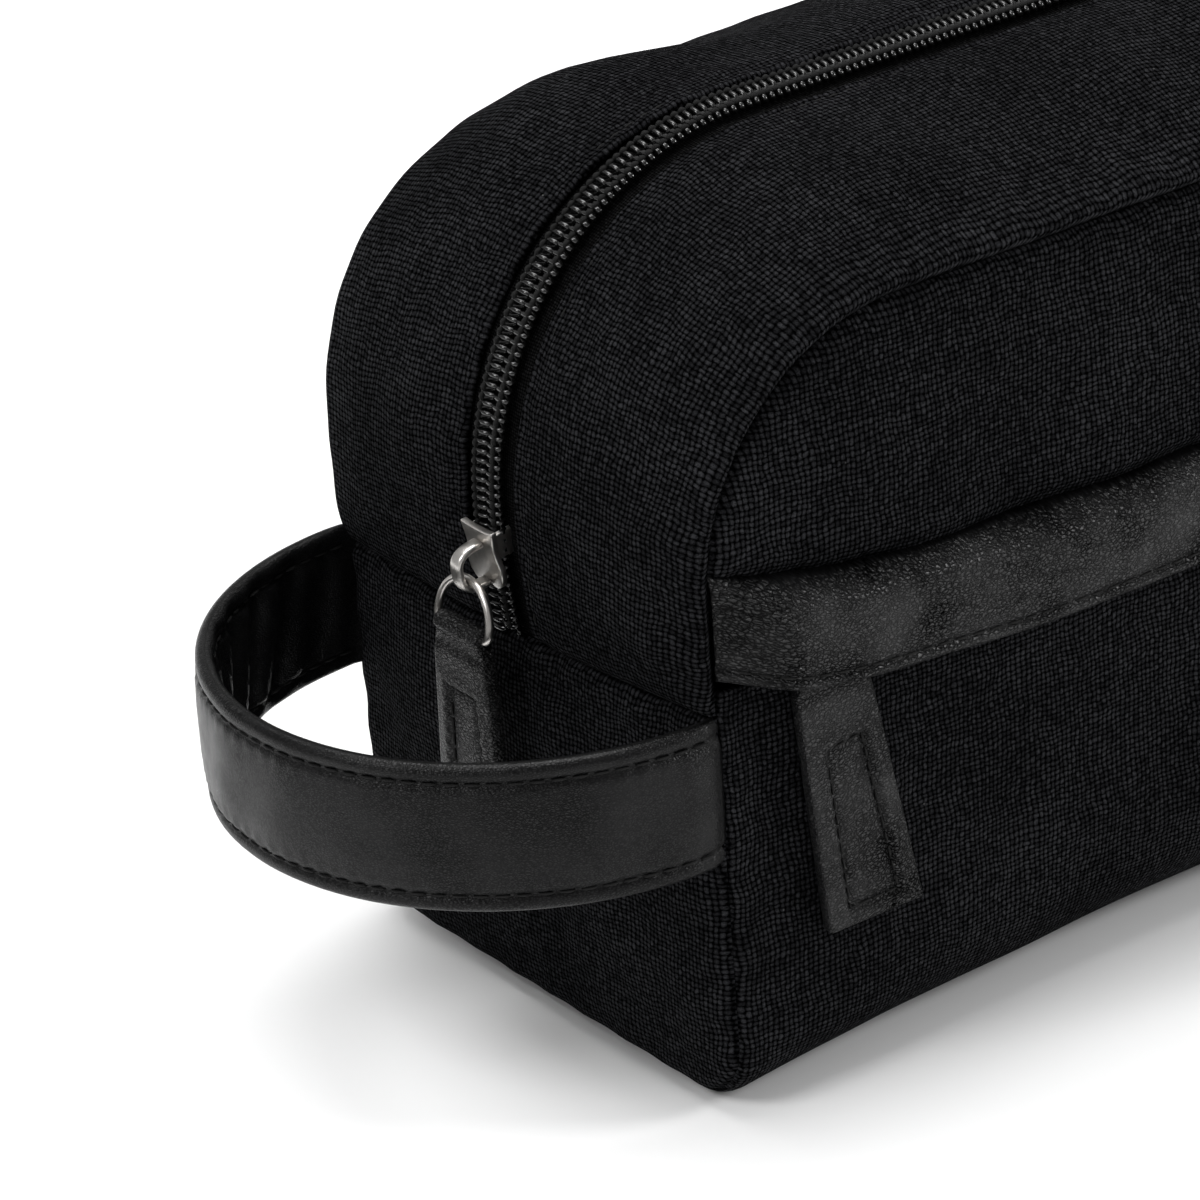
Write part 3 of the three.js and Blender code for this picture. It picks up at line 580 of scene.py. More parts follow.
def panel_heights(low, step):
    """Rows of a front or back panel: even steps, then steps of equal turn round its upper corners."""
    straight = np.arange(low, SEAM_CENTRE[1], step)
    radius = SEAM_RADIUS - seam_inset(TOP_SEAM_Z)[0]
    return np.concatenate([straight, SEAM_CENTRE[1] + radius * np.sin(np.linspace(0, math.pi / 2, 30))])


def swell(distance, amount, reach=17):
    """How far a soft surface stands out at a distance from its sewn edge."""
    return amount * (1 - np.exp(-distance / reach))


def upper_front_y(x, z):
    """Outer face of the front panel above the pocket."""
    edge = inside_panel(x, z)
    uneven = 0.5 * ripple(x, z, 3, 50) + 0.35 * ripple(x, z, 4, 24)
    return -HALF_DEPTH - swell(edge, UPPER_FRONT_BULGE) - uneven * (1 - np.exp(-edge / 14))


def band_drop(x):
    """How far the leather band hangs below its height where it is sewn into the upright seams."""
    return 8.2 * (1 - np.exp(-(SEAM_X - np.abs(x)) / 26)) - 4.5


# ---------------------------------------------------------------- canvas pieces
def body_section(x, front, front_top):
    """Section of the canvas body, row by row: down the pocket's face, under the base and up the back.

    Each row has the outward directions (in Y and Z) and the places of its points.
    """
    middle = 1 - (np.abs(x) / SEAM_X) ** 2.5
    front_radius = BASE_RADIUS_END + (BASE_RADIUS_MIDDLE - BASE_RADIUS_END) * middle
    back_radius = BASE_RADIUS_END + 4 * middle
    rows = []
    for f in np.linspace(0, 1, 28)[:-1]:
        z = front_top + (front_radius - front_top) * f
        rows.append((z, -front + 0 * x, -1.0 + 0 * x, 0 * x))
    for turn in np.linspace(0, math.pi / 2, 16)[:-1]:
        z = front_radius * (1 - math.sin(turn))
        y = -front + front_radius * (1 - math.cos(turn))
        rows.append((z, y, -math.cos(turn) + 0 * x, -math.sin(turn) + 0 * x))
    for f in np.linspace(0, 1, 14)[:-1]:
        y = -front + front_radius + (front + HALF_DEPTH - front_radius - back_radius) * f
        rows.append((0 * x, y, 0 * x, -1.0 + 0 * x))
    for turn in np.linspace(0, math.pi / 2, 14)[:-1]:
        z = back_radius * (1 - math.cos(turn))
        y = HALF_DEPTH - back_radius * (1 - math.sin(turn))
        rows.append((z, y, math.sin(turn) + 0 * x, -math.cos(turn) + 0 * x))
    for height in panel_heights(0, 2.6)[7:]:
        rows.append((np.maximum(height, back_radius), HALF_DEPTH + 0 * x, 1.0 + 0 * x, 0 * x))
    return [tuple(np.asarray(part, float) for part in row) for row in rows]


def canvas_body(name, front, front_top, inset=0.0, thickness=CANVAS, material=CANVAS_LOOK):
    """Pocket face, base and back in one piece of canvas, or of lining at an inset inside it."""
    reach = spaced(-1, 1, 0.03, EDGE_STEPS)
    rows = body_section(reach * SEAM_X, front, front_top)
    z, y, out_y, out_z = (np.stack(part) for part in zip(*rows))
    on_back = y > 0
    side_inset = np.where(on_back, seam_inset(z)[0], EDGE_INSET) + inset
    half = panel_half_length(z, side_inset)
    x = reach[None, :] * half
    points = np.stack([x, y, z], -1)
    lengths = np.zeros(x.shape)
    lengths[1:] = np.cumsum(np.linalg.norm(np.diff(points, axis=0), axis=2), axis=0)
    side_edge = half - np.abs(x)
    edge = np.where(on_back, np.minimum(side_edge, inside_panel(x, z)), side_edge)
    depth = np.where(on_back, seam_inset(z)[1], EDGE_INSET)
    upright = np.clip(z / 30, 0, 1) ** 2
    front_bulge = swell(edge, 0.0 if inset else POCKET_BULGE, 9) * np.clip((74 - z) / 10, 0.2, 1)
    bulge = np.where(on_back, swell(edge, BACK_BULGE), front_bulge) * upright
    hollow = HOLLOW * np.exp(-((x + HOLLOW_X) / 6.5) ** 2) * np.clip((z - 12) / 35, 0, 1)
    uneven = 0.34 * ripple(x, lengths, 5, 44) + np.where(on_back, 0.35, 0.1) * ripple(x, lengths, 6, 22)
    standing = np.clip(z / 9, 0, 1)
    move = bulge + uneven * (1 - np.exp(-edge / 9)) * standing
    move += 0.4 * pucker(lengths, side_edge, 8, 11) * standing
    move -= shoulder(edge, depth) + inset + np.where(on_back, 0, hollow)
    under_tab = np.where(on_back, 0, np.clip((z - 22) / 8, 0, 1))
    move -= under_tab * np.maximum(move - TAB_SWEEP, 0)
    points[..., 1] += out_y * move
    points[..., 2] = np.maximum(points[..., 2] + out_z * move, inset)
    cloth = np.stack([x, lengths, 0 * lengths], -1).reshape(-1, 3)
    return shell(name, points, cloth, thickness, material, 1)


def upper_front_canvas():
    """Front panel above the band, with rounded upper corners."""
    heights = panel_heights(BAND_TOP - 6, 2.4)
    reach = spaced(-1, 1, 0.025, EDGE_STEPS)
    z = heights[:, None] + 0 * reach[None, :]
    x = reach[None, :] * panel_half_length(z, seam_inset(z)[0])
    edge = inside_panel(x, z)
    round_panel = np.arctan2(z - 60, x) * 90
    y = upper_front_y(x, z) + shoulder(edge, seam_inset(z)[1]) - 0.4 * pucker(round_panel, edge, 12, 10, 7)
    above_band = z - band_line(x, 1.0)
    y += shoulder(np.clip(above_band, 0, None), 2.4, 4.5)
    points = np.stack([x, y, z], -1)
    cloth = np.stack([x, z, 0 * x], -1).reshape(-1, 3)
    return shell("upper_front_canvas", points, cloth, CANVAS, CANVAS_LOOK, -1)


def end_panel(name, side, inset=0.0, material=CANVAS_LOOK, thickness=CANVAS):
    """Panel of one end below the cross seam, with rounded lower corners, or its lining at an inset."""
    trim = EDGE_INSET + inset
    half = HALF_DEPTH - trim
    radius = BASE_RADIUS_END - trim
    low, high = trim, CROSS_SEAM_Z
    heights = spaced(low, high, 2.0)
    reach = spaced(-1, 1, 0.045, (0, 0.006, 0.014, 0.024, 0.036, 0.052, 0.075))
    z = heights[:, None] + 0 * reach[None, :]
    drop = np.clip(low + radius - z, 0, radius)
    width = half - radius + np.sqrt(radius ** 2 - drop ** 2)
    y = reach[None, :] * width
    edge = np.minimum(width - np.abs(y), np.minimum(z - low, high - z))
    corner = (np.abs(y) > half - radius) & (z < low + radius)
    to_corner = radius - np.hypot(np.abs(y) - half + radius, z - low - radius)
    edge = np.clip(np.where(corner, to_corner, edge), 0, None)
    uneven = 0.5 * ripple(y, z, 21 + side, 38) + 0.3 * ripple(y, z, 25 + side, 19)
    uneven = uneven * (1 - np.exp(-edge / 9))
    crown = SEAM_X + (float(zip_outline(0)[0]) - SEAM_X) * (1 - (y / HALF_DEPTH) ** 2) * z / high
    out = crown + swell(edge, END_BULGE, 15) + uneven + 0.4 * pucker(y + z, edge, 23, 10)
    out -= shoulder(edge, EDGE_INSET) + inset
    points = np.stack([side * out, y, z], -1)
    cloth = np.stack([y, z, 0 * y], -1).reshape(-1, 3)
    points[..., 2] -= cross_seam_drop(y) * (z / high) ** 4
    return shell(name, points, cloth, thickness, material, -side)


def top_relief(a, yy, face, seam_edge, zip_edge, depth_inset):
    """How far the canvas of the domed top stands out: its bulge, gathers, folded edge and seams."""
    cross_edge = np.clip(ZIP_LENGTH - np.abs(a), 0, None)
    sewn = np.minimum(seam_edge, cross_edge)
    free = (1 - np.exp(-sewn / 9)) * (1 - np.exp(-zip_edge / 8))
    uneven = 0.55 * ripple(a, yy, 31 + face, 52) + 0.4 * ripple(a, yy, 33 + face, 24)
    move = free * (1.5 + uneven)
    corner = np.exp(-((np.abs(a) - 92) / 26) ** 2 - ((np.abs(yy) - 37) / 13) ** 2)
    move += (3.0 if face > 0 else 1.4) * corner * free
    move += (0.12 if face > 0 else 0.4) * pucker(a, seam_edge, 36 + face, 13, 7)
    move += 0.22 * pucker(a, zip_edge, 40 + face, 6.5, 3.5)
    move -= shoulder(zip_edge, 0.9, 1.1) + 0.35 * np.exp(-((zip_edge - TOPSTITCH) / 0.7) ** 2)
    move -= shoulder(seam_edge, depth_inset)
    meets_end = 1 - np.exp(-cross_edge / 3)
    move += 1.3 * (1 - np.exp(-seam_edge / 2)) * np.exp(-seam_edge / 15) * meets_end
    roll = (seam_edge / 1.6) * np.exp(1 - seam_edge / 1.6)
    lip = LIP * roll * meets_end
    sink = shoulder(cross_edge, EDGE_INSET) * (1 - np.exp(-seam_edge / 1.5))
    return move, lip, sink


def top_layer(name, side, face, near, far, depth, thickness, material, canvas):
    """Half of one layer beside the main zip, from the bag's middle over one end to the cross seam."""
    bend = spaced(ZIP_BEND_X, ZIP_LENGTH, 2.2)[6:]
    along = side * np.concatenate([np.linspace(0, ZIP_BEND_X, 34)[:-1], bend])
    seam_z = seam_outline(1 - np.clip((np.abs(along) - ZIP_BEND_X) / BEND_LENGTH, 0, 1))[1]
    along_inset, depth_inset, lean = seam_inset(seam_z)
    edge_y = far - (along_inset * np.cos(lean) if canvas else 0 * along)
    across = (spaced(near, far, 2.0) - near) / (far - near)
    yy = face * (near + (edge_y[:, None] - near) * across[None, :])
    a = along[:, None] + 0 * yy
    points = top_point(a, yy)
    facing = side * face
    normal = normals_of(points) * facing
    move = -depth
    if canvas:
        seam_edge = (edge_y[:, None] - np.abs(yy)) / np.cos(lean)[:, None]
        zip_edge = np.abs(yy) - near
        relief, lip, sink = top_relief(a, yy, face, seam_edge, zip_edge, depth_inset[:, None])
        move = relief - depth
        points[..., 1] += face * lip
        points[..., 0] -= side * sink
    points = points + normal * np.broadcast_to(move, a.shape)[..., None]
    cloth = np.stack([a, yy, 0 * a], -1).reshape(-1, 3)
    return shell(name, points, cloth, thickness, material, facing)


def topstitch(side, face):
    """The row of stitches that holds a folded canvas edge beside the zip."""
    along = side * np.linspace(0.5, ZIP_LENGTH - 4, 260)
    y = np.full_like(along, face * (CANVAS_EDGE + TOPSTITCH))
    outward = zip_frame(along)[1]
    path = top_point(along, y) - outward * 0.12
    return stitch_row(f"topstitch_{side}_{face}", path, outward, pitch=3.0, length=1.9, radius=0.2)


def coil_binding(side, face):
    """The chain of thread that sews one row of the coil to its tape, a stitch to each turn."""
    along = side * np.linspace(0.2, ZIP_LENGTH - 0.6, 400)
    centre, outward, _ = zip_frame(along)
    aside = np.stack([0 * along, np.full_like(along, face * 2.35), 0 * along], -1)
    path = centre + aside + outward * 0.72
    name = f"coil_binding_{side}_{face}"
    return stitch_row(name, path, outward, pitch=COIL_PITCH, length=1.42, radius=0.46)


# ---------------------------------------------------------------- zips
def coil_row(name, start, end, face, centre_of):
    """One row of a coil zip: a flattened spiral whose upper strands cross the zip squarely."""
    turns = int(abs(end - start) / COIL_PITCH)
    steps = 12
    phase = np.arange(turns * steps + 1) / steps + (0.5 if face > 0 else 0.0)
    whole = np.floor(phase)
    part = phase - whole
    climb = np.clip((part - 0.5) * 2, 0, 1)
    along = start + math.copysign(COIL_PITCH, end - start) * (whole + climb)
    y = face * (COIL_ROW_Y + COIL_HALF_WIDTH * np.cos(2 * math.pi * part))
    height = -COIL_SUNK + COIL_HALF_HEIGHT * np.sin(2 * math.pi * part)
    centre, outward, travel = centre_of(along, y)
    points = centre + outward * height[:, None]
    return tube(name, points, travel, COIL_WIRE, NYLON_LOOK, sides=6)


def main_zip_centre(along, y):
    """Place, outward direction and direction of travel on the main zip."""
    centre, outward, travel = zip_frame(along)
    centre = centre + np.stack([0 * y, y, 0 * y], -1)
    return centre, outward, travel


def pocket_zip_centre(along, y):
    """The same on the pocket's zip, which runs level along the front."""
    face_y = box_mm("pocket_zip_coil_upper")[0][1] + 0.9
    ones = np.ones_like(along)
    centre = np.stack([along, face_y * ones, POCKET_ZIP_Z + y], -1)
    return centre, np.array([0, -1.0, 0]) * ones[:, None], np.array([1.0, 0, 0]) * ones[:, None]


def stitch_row(name, path, outward, pitch=3.3, length=2.3, radius=0.26):
    """Separate stitches along a path, each a short rounded thread that dips in at both ends."""
    path = np.asarray(path, float)
    outward = np.broadcast_to(np.asarray(outward, float), path.shape)
    steps = np.linalg.norm(np.diff(path, axis=0), axis=1)
    distance = np.concatenate([[0], np.cumsum(steps)])

    def at(values, place):
        return np.array([np.interp(place, distance, values[:, axis]) for axis in range(3)])

    points, faces = [], []
    sides, sections = 6, 7
    turns = np.linspace(0, 2 * math.pi, sides, endpoint=False)
    for start in np.arange(pitch / 2, distance[-1] - length, pitch):
        faces += capped_faces(sections, sides, len(points))
        ahead = at(path, start + length) - at(path, start)
        ahead /= np.linalg.norm(ahead)
        out = at(outward, start + length / 2)
        out = out - ahead * out.dot(ahead)
        out /= np.linalg.norm(out)
        across = np.cross(ahead, out)
        for share in np.arange(sections) / (sections - 1):
            lift = 0.5 * radius * math.sin(math.pi * share) - 0.25 * radius
            centre = at(path, start + length * share) + out * lift
            size = radius * (0.35 + 0.65 * math.sin(math.pi * min(max(share, 0.04), 0.96)) ** 0.5)
            for turn in turns:
                points.append(centre + (across * math.cos(turn) + out * math.sin(turn)) * size)
    return mesh_object(name, points, faces, THREAD_LOOK)


# ---------------------------------------------------------------- leather band over the pocket
def band_line(x, share):
    """Height of the band at a share of its width, 0 along its hem and 1 along its sewn upper edge."""
    return BAND_LOW + share * BAND_HEIGHT - band_drop(x)


def band_face(x, share):
    """Outer face of the band: folded at its top, standing off over the slider, sewn in at both ends."""
    into_seam = np.clip((SEAM_X - np.abs(x)) / 13, 0, 1)
    into_seam = into_seam * into_seam * (3 - 2 * into_seam)
    z = band_line(x, share)
    against = upper_front_y(x, band_line(x, 1.0)) + 1.6
    fold = np.clip((1 - share) / 0.26, 0, 1)
    lift = np.sqrt(1 - (1 - fold) ** 2)
    hang = BAND_Y - 0.2 - 0.5 * (1 - (x / SEAM_X) ** 2) - 0.7 * np.sin(math.pi * np.clip(share, 0, 1))
    y = against + (hang - against) * lift
    y = y * into_seam + (-HALF_DEPTH + 1.6 - 0.5 * lift) * (1 - into_seam)
    return y + 0.4 * ripple(x, z, 51, 34) * into_seam


def leather_band():
    """Leather strip over the pocket's zip, folded under along its hem."""
    x = spaced(-SEAM_X + 1.4, SEAM_X - 1.4, 1.6)
    share = spaced(0, 1, 0.035, (0, 0.012, 0.03, 0.055, 0.08, 0.1, 0.115, 0.13, 0.145, 0.165, 0.19))
    xx, ss = np.meshgrid(x, share, indexing="ij")
    width = ss * BAND_HEIGHT
    hem_roll = shoulder(width, 0.9, 1.0)
    groove = 0.42 * np.exp(-((width - BAND_HEM) / 0.45) ** 2)
    hem_bead = 0.35 * np.exp(-((width - 1.1) / 0.8) ** 2)
    y = band_face(xx, ss) + hem_roll + groove - hem_bead
    gather = np.sin(2 * math.pi * xx / 3.3) * np.exp(-((width - BAND_HEM) / 0.9) ** 2)
    y = y - 0.06 * gather
    points = np.stack([xx, y, band_line(xx, ss)], -1)
    cloth = np.stack([xx, width, 0 * xx], -1).reshape(-1, 3)
    return shell("leather_band", points, cloth, 1.3, BAND_LOOK, 1)


def sheet_along(name, section, half_length, thickness, material):
    """A thin sheet with the same section, a list of places in Y and Z, all along the bag."""
    x = np.linspace(-half_length, half_length, 60)
    section = np.asarray(section, float)
    xx = x[:, None] + 0 * section[None, :, 0]
    y, z = section[None, :, 0] + 0 * xx, section[None, :, 1] + 0 * xx
    points = np.stack([xx, y + 0.08 * ripple(xx, z, 61, 25), z], -1)
    lengths = np.concatenate([[0], np.cumsum(np.linalg.norm(np.diff(section, axis=0), axis=1))])
    cloth = np.stack([xx, lengths[None, :] + 0 * xx, 0 * xx], -1).reshape(-1, 3)
    return shell(name, points, cloth, thickness, material, -1)


def seam_fold(name, face, side):
    """Lining cloth folded inside a top seam, which joins the strip to the panel as the flap opens.

    A side of 0 is the stretch that swings whole, and -1 or 1 is a stretch where the strip bends.
    Returns the piece, and the places between which it would take up the flap's swing; the piece itself is not bent
    by them.
    """
    if side == 0:
        x = np.linspace(-FLAP_X, FLAP_X, 60)
    else:
        x = side * np.linspace(FLAP_X, FLAP_END_X - 24, 30)
    panel = [(FOLD_Y, z) for z in (124.5, 126.0, FOLD_Z, 127.9)]
    strip = [(y, top_point(np.zeros(1), np.full(1, y))[0][2] - 2.1) for y in (46.4, 45.6, 44.6, 43.2)]
    section = np.array([(face * y, z) for y, z in panel + strip])
    xx = x[:, None] + 0 * section[None, :, 0]
    points = np.stack([xx, section[None, :, 0] + 0 * xx, section[None, :, 1] + 0 * xx], -1)
    cloth = np.stack([xx, points[..., 2] - face * points[..., 1], 0 * xx], -1).reshape(-1, 3)
    piece = shell(name, points, cloth, LINING, LINING_LOOK, face if side == 0 else face * side)
    # the share of the flap's swing grows up the fold, and falls toward the ends as the strip's does
    turn = FOLD_TURN ** 2
    slope = np.array([-side / (FLAP_END_X - FLAP_X), -face * FOLD_ACROSS / turn, FOLD_RISE / turn])
    start = np.array([side * FLAP_X, face * FOLD_Y, FOLD_Z])
    end = start + slope / (slope @ slope)
    return piece, start * MM, end * MM


def pocket_tape(name, node):
    """The woven tape of one side of the pocket's zip, in the box of its CAD node."""
    low, high = box_mm(node)
    section = [(low[1], z) for z in np.linspace(low[2], high[2], 12)]
    return sheet_along(name, section, high[0], high[1] - low[1], TAPE_LOOK)


def pocket_bag():
    """The pocket's own bag of lining: down behind the lower tape, round a fold, and up again."""
    low, high = box_mm("pocket_bag")
    radius = (high[1] - low[1]) / 2
    tape_foot = box_mm("pocket_zip_tape_lower")[0][2]
    down = [(low[1], z) for z in np.linspace(tape_foot - 0.5, low[2] + radius, 24)]
    turns = np.linspace(0, math.pi, 12)[1:-1]
    fold = [(low[1] + radius * (1 - math.cos(t)), low[2] + radius * (1 - math.sin(t))) for t in turns]
    up = [(high[1], z) for z in np.linspace(low[2] + radius, high[2], 30)]
    section = (down + fold + up)[::-1]
    return sheet_along("pocket_bag_sheet", section, high[0], 0.4, LINING_LOOK)


def band_stitches():
    """The row of stitches along the band's hem."""
    x = np.linspace(-SEAM_X + 3, SEAM_X - 3, 400)
    share = np.full_like(x, BAND_HEM / BAND_HEIGHT)
    path = np.stack([x, band_face(x, share) + 0.3, band_line(x, share)], -1)
    return stitch_row("band_hem_stitches", path, (0, -1, 0))


# ---------------------------------------------------------------- handle
def handle_path(count):
    """Middle line of the strap in plan, from inside the front seam round to inside the back one."""
    middle = HANDLE_RADIUS - 1.5
    arc = np.linspace(-math.pi / 2, -3 * math.pi / 2, count)
    loop = np.stack([HANDLE_ROOT_X + middle * np.cos(arc), middle * np.sin(arc)], -1)
    roots = np.array([[3.2, 0.75], [2.2, 0.6], [1.1, 0.25]])
    front = np.stack([HANDLE_ROOT_X + roots[:, 0], -middle + roots[:, 1]], -1)
    plan = np.concatenate([front, loop, (front * [1, -1])[::-1]])
    along = np.gradient(plan, axis=0)
    along /= np.linalg.norm(along, axis=1, keepdims=True)
    outward = np.stack([-along[:, 1], along[:, 0]], -1)
    if outward[len(plan) // 2][0] > 0:
        outward = -outward
    steps = np.linalg.norm(np.diff(plan, axis=0), axis=1)
    return plan, outward, np.concatenate([[0], np.cumsum(steps)])


def strap_section(count):
    """The strap's section: height above its middle and depth out of its face, once round."""
    half = (HANDLE_HIGH - HANDLE_LOW) / 2
    turn = np.linspace(0, 2 * math.pi, count, endpoint=False)
    height = half * np.sign(np.sin(turn)) * np.abs(np.sin(turn)) ** 0.55
    from_edge = half - np.abs(height)
    body = 1.55 * np.sqrt(np.clip(1 - (1 - np.clip(from_edge / 1.5, 0, 1)) ** 2, 0, 1))
    groove = 0.6 * np.exp(-((from_edge - 3.0) / 0.55) ** 2)
    pad = 0.45 * np.clip((from_edge - 3.2) / 5, 0, 1) ** 0.6
    depth = np.sign(np.cos(turn)) * np.clip(body - groove + pad, 0, None)
    return height, depth, from_edge


def handle_strap():
    """The whole strap: outer and inner leather stitched together over a soft filling."""
    plan, outward, lengths = handle_path(HANDLE_ROWS)
    height, depth, from_edge = strap_section(88)
    rows = len(plan)
    on_inside = depth < 0
    middle_z = (HANDLE_LOW + HANDLE_HIGH) / 2
    points = np.zeros((rows, len(height), 3))
    for i in range(rows):
        reach = lengths[i] / lengths[-1]
        near_root = min(lengths[i], lengths[-1] - lengths[i])
        out = depth * (0.5 + 0.5 * min(1, near_root / 6))
        # the inner face buckles where the strap bends most, towards the back end
        buckle = math.exp(-((reach - 0.8) / 0.13) ** 2)
        fold = np.sin(2 * math.pi * (lengths[i] - 0.35 * height) / 9.5) * np.clip(from_edge / 5, 0, 1)
        out = np.where(on_inside, out - 1.0 * buckle * fold, out)
        soft = 0.2 * np.sin(2 * math.pi * lengths[i] / 17 + 0.12 * height) * np.clip(from_edge / 6, 0, 1)
        soft *= 0.5 + 0.5 * math.sin(2 * math.pi * lengths[i] / 67)
        gather = 0.13 * math.sin(2 * math.pi * lengths[i] / 3.3 + 0.9 * math.sin(lengths[i] / 5))
        gather = gather * np.exp(-((from_edge - 4) / 1.6) ** 2)
        out = out + np.where(on_inside, -soft, soft) + np.where(on_inside, -gather, gather)
        points[i, :, 0] = plan[i, 0] + outward[i, 0] * out
        points[i, :, 1] = plan[i, 1] + outward[i, 1] * out
        points[i, :, 2] = middle_z + height
    face = np.tile(np.sign(depth) * 9, rows)
    cloth = np.stack([np.repeat(lengths, len(height)), np.tile(height, rows), face], -1)
    faces = capped_faces(rows, len(height))
    strap = mesh_object("handle_strap", points, faces, HANDLE_LOOK, cloth)
    tidy_normals(strap)
    return strap


def tidy_normals(obj):
    """Turns every face of a closed mesh outwards."""
    shape = bmesh.new()
    shape.from_mesh(obj.data)
    bmesh.ops.recalc_face_normals(shape, faces=shape.faces)
    shape.to_mesh(obj.data)
    shape.free()


def handle_stitches(name, z, inside):
    """One row of stitches round the handle, seen on its inner or outer face."""
    plan, outward, _ = handle_path(HANDLE_ROWS)
    sign = -1 if inside else 1
    out = np.column_stack([outward, np.zeros(len(plan))]) * sign
    path = np.column_stack([plan, np.full(len(plan), z)]) + out * 1.25
    return stitch_row(name, path[2:-2], out[2:-2])


# ---------------------------------------------------------------- sliders, rings and tabs
def placed(obj, matrix):
    """Carries a piece from its own axes, in millimetres, to its place in the frame."""
    move = Matrix(matrix)
    move.translation = move.translation * MM
    obj.data.transform(move)
    obj.data.update()
    return obj


def axes_at(origin, x_axis, y_axis, z_axis):
    """The matrix that carries a piece's own axes to these ones."""
    matrix = Matrix.Identity(4)
    for column, vector in enumerate((x_axis, y_axis, z_axis, origin)):
        for row in range(3):
            matrix[row][column] = vector[row]
    return matrix


def plate(name, outline, low, high, material, bevel=0.22):
    """A flat outline raised from low to high, with softened edges."""
    shape = bmesh.new()
    ring = [shape.verts.new((x * MM, y * MM, low * MM)) for x, y in outline]
    base = shape.faces.new(ring)
    lifted = bmesh.ops.extrude_face_region(shape, geom=[base])
    for vert in [v for v in lifted["geom"] if isinstance(v, bmesh.types.BMVert)]:
        vert.co.z = high * MM
    bmesh.ops.recalc_face_normals(shape, faces=shape.faces)
    sharp = [e for e in shape.edges if e.calc_face_angle(0) > math.radians(50)]
    bmesh.ops.bevel(shape, geom=sharp, offset=bevel * MM, segments=3, affect="EDGES", profile=0.6)
    mesh = bpy.data.meshes.new(name)
    shape.to_mesh(mesh)
    shape.free()
    points = np.array([v.co for v in mesh.vertices]) * 1000
    faces = [list(p.vertices) for p in mesh.polygons]
    bpy.data.meshes.remove(mesh)
    return mesh_object(name, points, faces, material)


def combined(name, *objects):
    """Joins pieces of the same material into one object."""
    target = objects[0]
    with bpy.context.temp_override(active_object=target, selected_editable_objects=list(objects)):
        bpy.ops.object.join()
    target.name = name
    target.data.name = name
    return target


def slider_outline():
    """Outline of the slider's plates: a shield with a wide tail (+Y), a waist and a broad head."""
    tail = [(0, 5.0), (2.2, 5.05), (4.1, 5.3), (4.15, 4.9)]
    waist = [(3.75, 3.2), (3.6, 1.8), (3.8, 0.4), (4.35, -1.2)]
    head = [(4.5, -2.4), (4.2, -3.6), (3.3, -4.8), (2.6, -5.2), (1.6, -5.1), (0.8, -4.6)]
    right = tail + waist + head
    return right + [(-x, y) for x, y in right[:0:-1]]


def slider_body(name, matrix):
    """Lower and upper plate, the side flanges that press the coils together, and the post between."""
    foot = plate(name + "_foot", slider_outline(), -3.7, -2.75, NICKEL_LOOK)
    top = plate(name, slider_outline(), 1.5, 2.6, NICKEL_LOOK)
    flanges = []
    for side in (-1, 1):
        inner, outer = side * 2.8, side * 3.45
        wing = [(inner, -0.4), (outer, 0.2), (outer, 4.2), (inner, 4.6)]
        flanges.append(plate(f"{name}_flange", wing, -2.9, 1.7, NICKEL_LOOK, 0.12))
    post = [(-0.4, -4.2), (0.4, -4.2), (0.4, -1.2), (-0.4, -1.2)]
    divider = plate(name + "_post", post, -2.9, 1.7, NICKEL_LOOK, 0.1)
    return placed(combined(name, top, foot, divider, *flanges), matrix)


def slider_crown(name, matrix, low_y, high_y, top):
    """A bent strap over the slider, fuller towards its head, that leaves an eye for the ring."""
    turn = np.linspace(0, math.pi, 30)
    middle, half = (low_y + high_y) / 2, (high_y - low_y) / 2 - 0.5
    foot = 2.75
    centre_y = middle - half * np.sign(np.cos(turn)) * np.abs(np.cos(turn)) ** 0.7
    rise = top - 0.62 - foot
    centre_z = foot + rise * np.sin(turn) ** 0.6
    centre = np.stack([0 * turn, centre_y, centre_z], -1)
    along = np.gradient(centre, axis=0)
    along /= np.linalg.norm(along, axis=1, keepdims=True)
    out = np.cross(along, [1.0, 0, 0])
    section = []
    for k in range(20):
        a = 2 * math.pi * k / 20
        wide = 1.3 * math.copysign(abs(math.cos(a)) ** 0.5, math.cos(a))
        thick = 0.62 * math.copysign(abs(math.sin(a)) ** 0.8, math.sin(a))
        section.append((wide, thick))
    sideways = np.array([1.0, 0, 0])
    points = [c + sideways * wide + o * thick for c, o in zip(centre, out) for wide, thick in section]
    crown = mesh_object(name, points, capped_faces(len(centre), len(section)), NICKEL_LOOK)
    tidy_normals(crown)
    return placed(crown, matrix)


def wire_ring(name, matrix, rise, drop):
    """A ring that hangs from its rounded top at the origin to a straight bar at -drop."""
    turn = np.linspace(0, math.pi, 40)
    arch = np.stack([RING_HALF * np.cos(turn), -rise + rise * np.sin(turn)], -1)
    corner = np.linspace(0, math.pi / 2, 8)
    across = -RING_HALF + RING_CORNER * (1 - np.cos(corner))
    left = np.stack([across, -drop + RING_CORNER * (1 - np.sin(corner))], -1)
    along = np.linspace(-RING_HALF + RING_CORNER, RING_HALF - RING_CORNER, 14)[1:-1]
    bar = np.stack([along, np.full(12, -drop)], -1)
    right = left[::-1] * [-1, 1]
    outline = np.concatenate([arch, left, bar, right])
    centres = np.column_stack([outline, np.zeros(len(outline))])
    ring = tube(name, centres, (0, 0, 1), WIRE, NICKEL_LOOK, sides=14, closed=True)
    tidy_normals(ring)
    return placed(ring, matrix)


def tab_half_width(y):
    """The tab narrows to a neck where it wraps the ring's bar, and widens towards its foot."""
    neck = np.clip((-y - 0.8) / 2.4, 0, 1)
    return 5.8 + 1.1 * neck * neck * (3 - 2 * neck) + 0.05 * np.clip(-y - 3, 0, None)


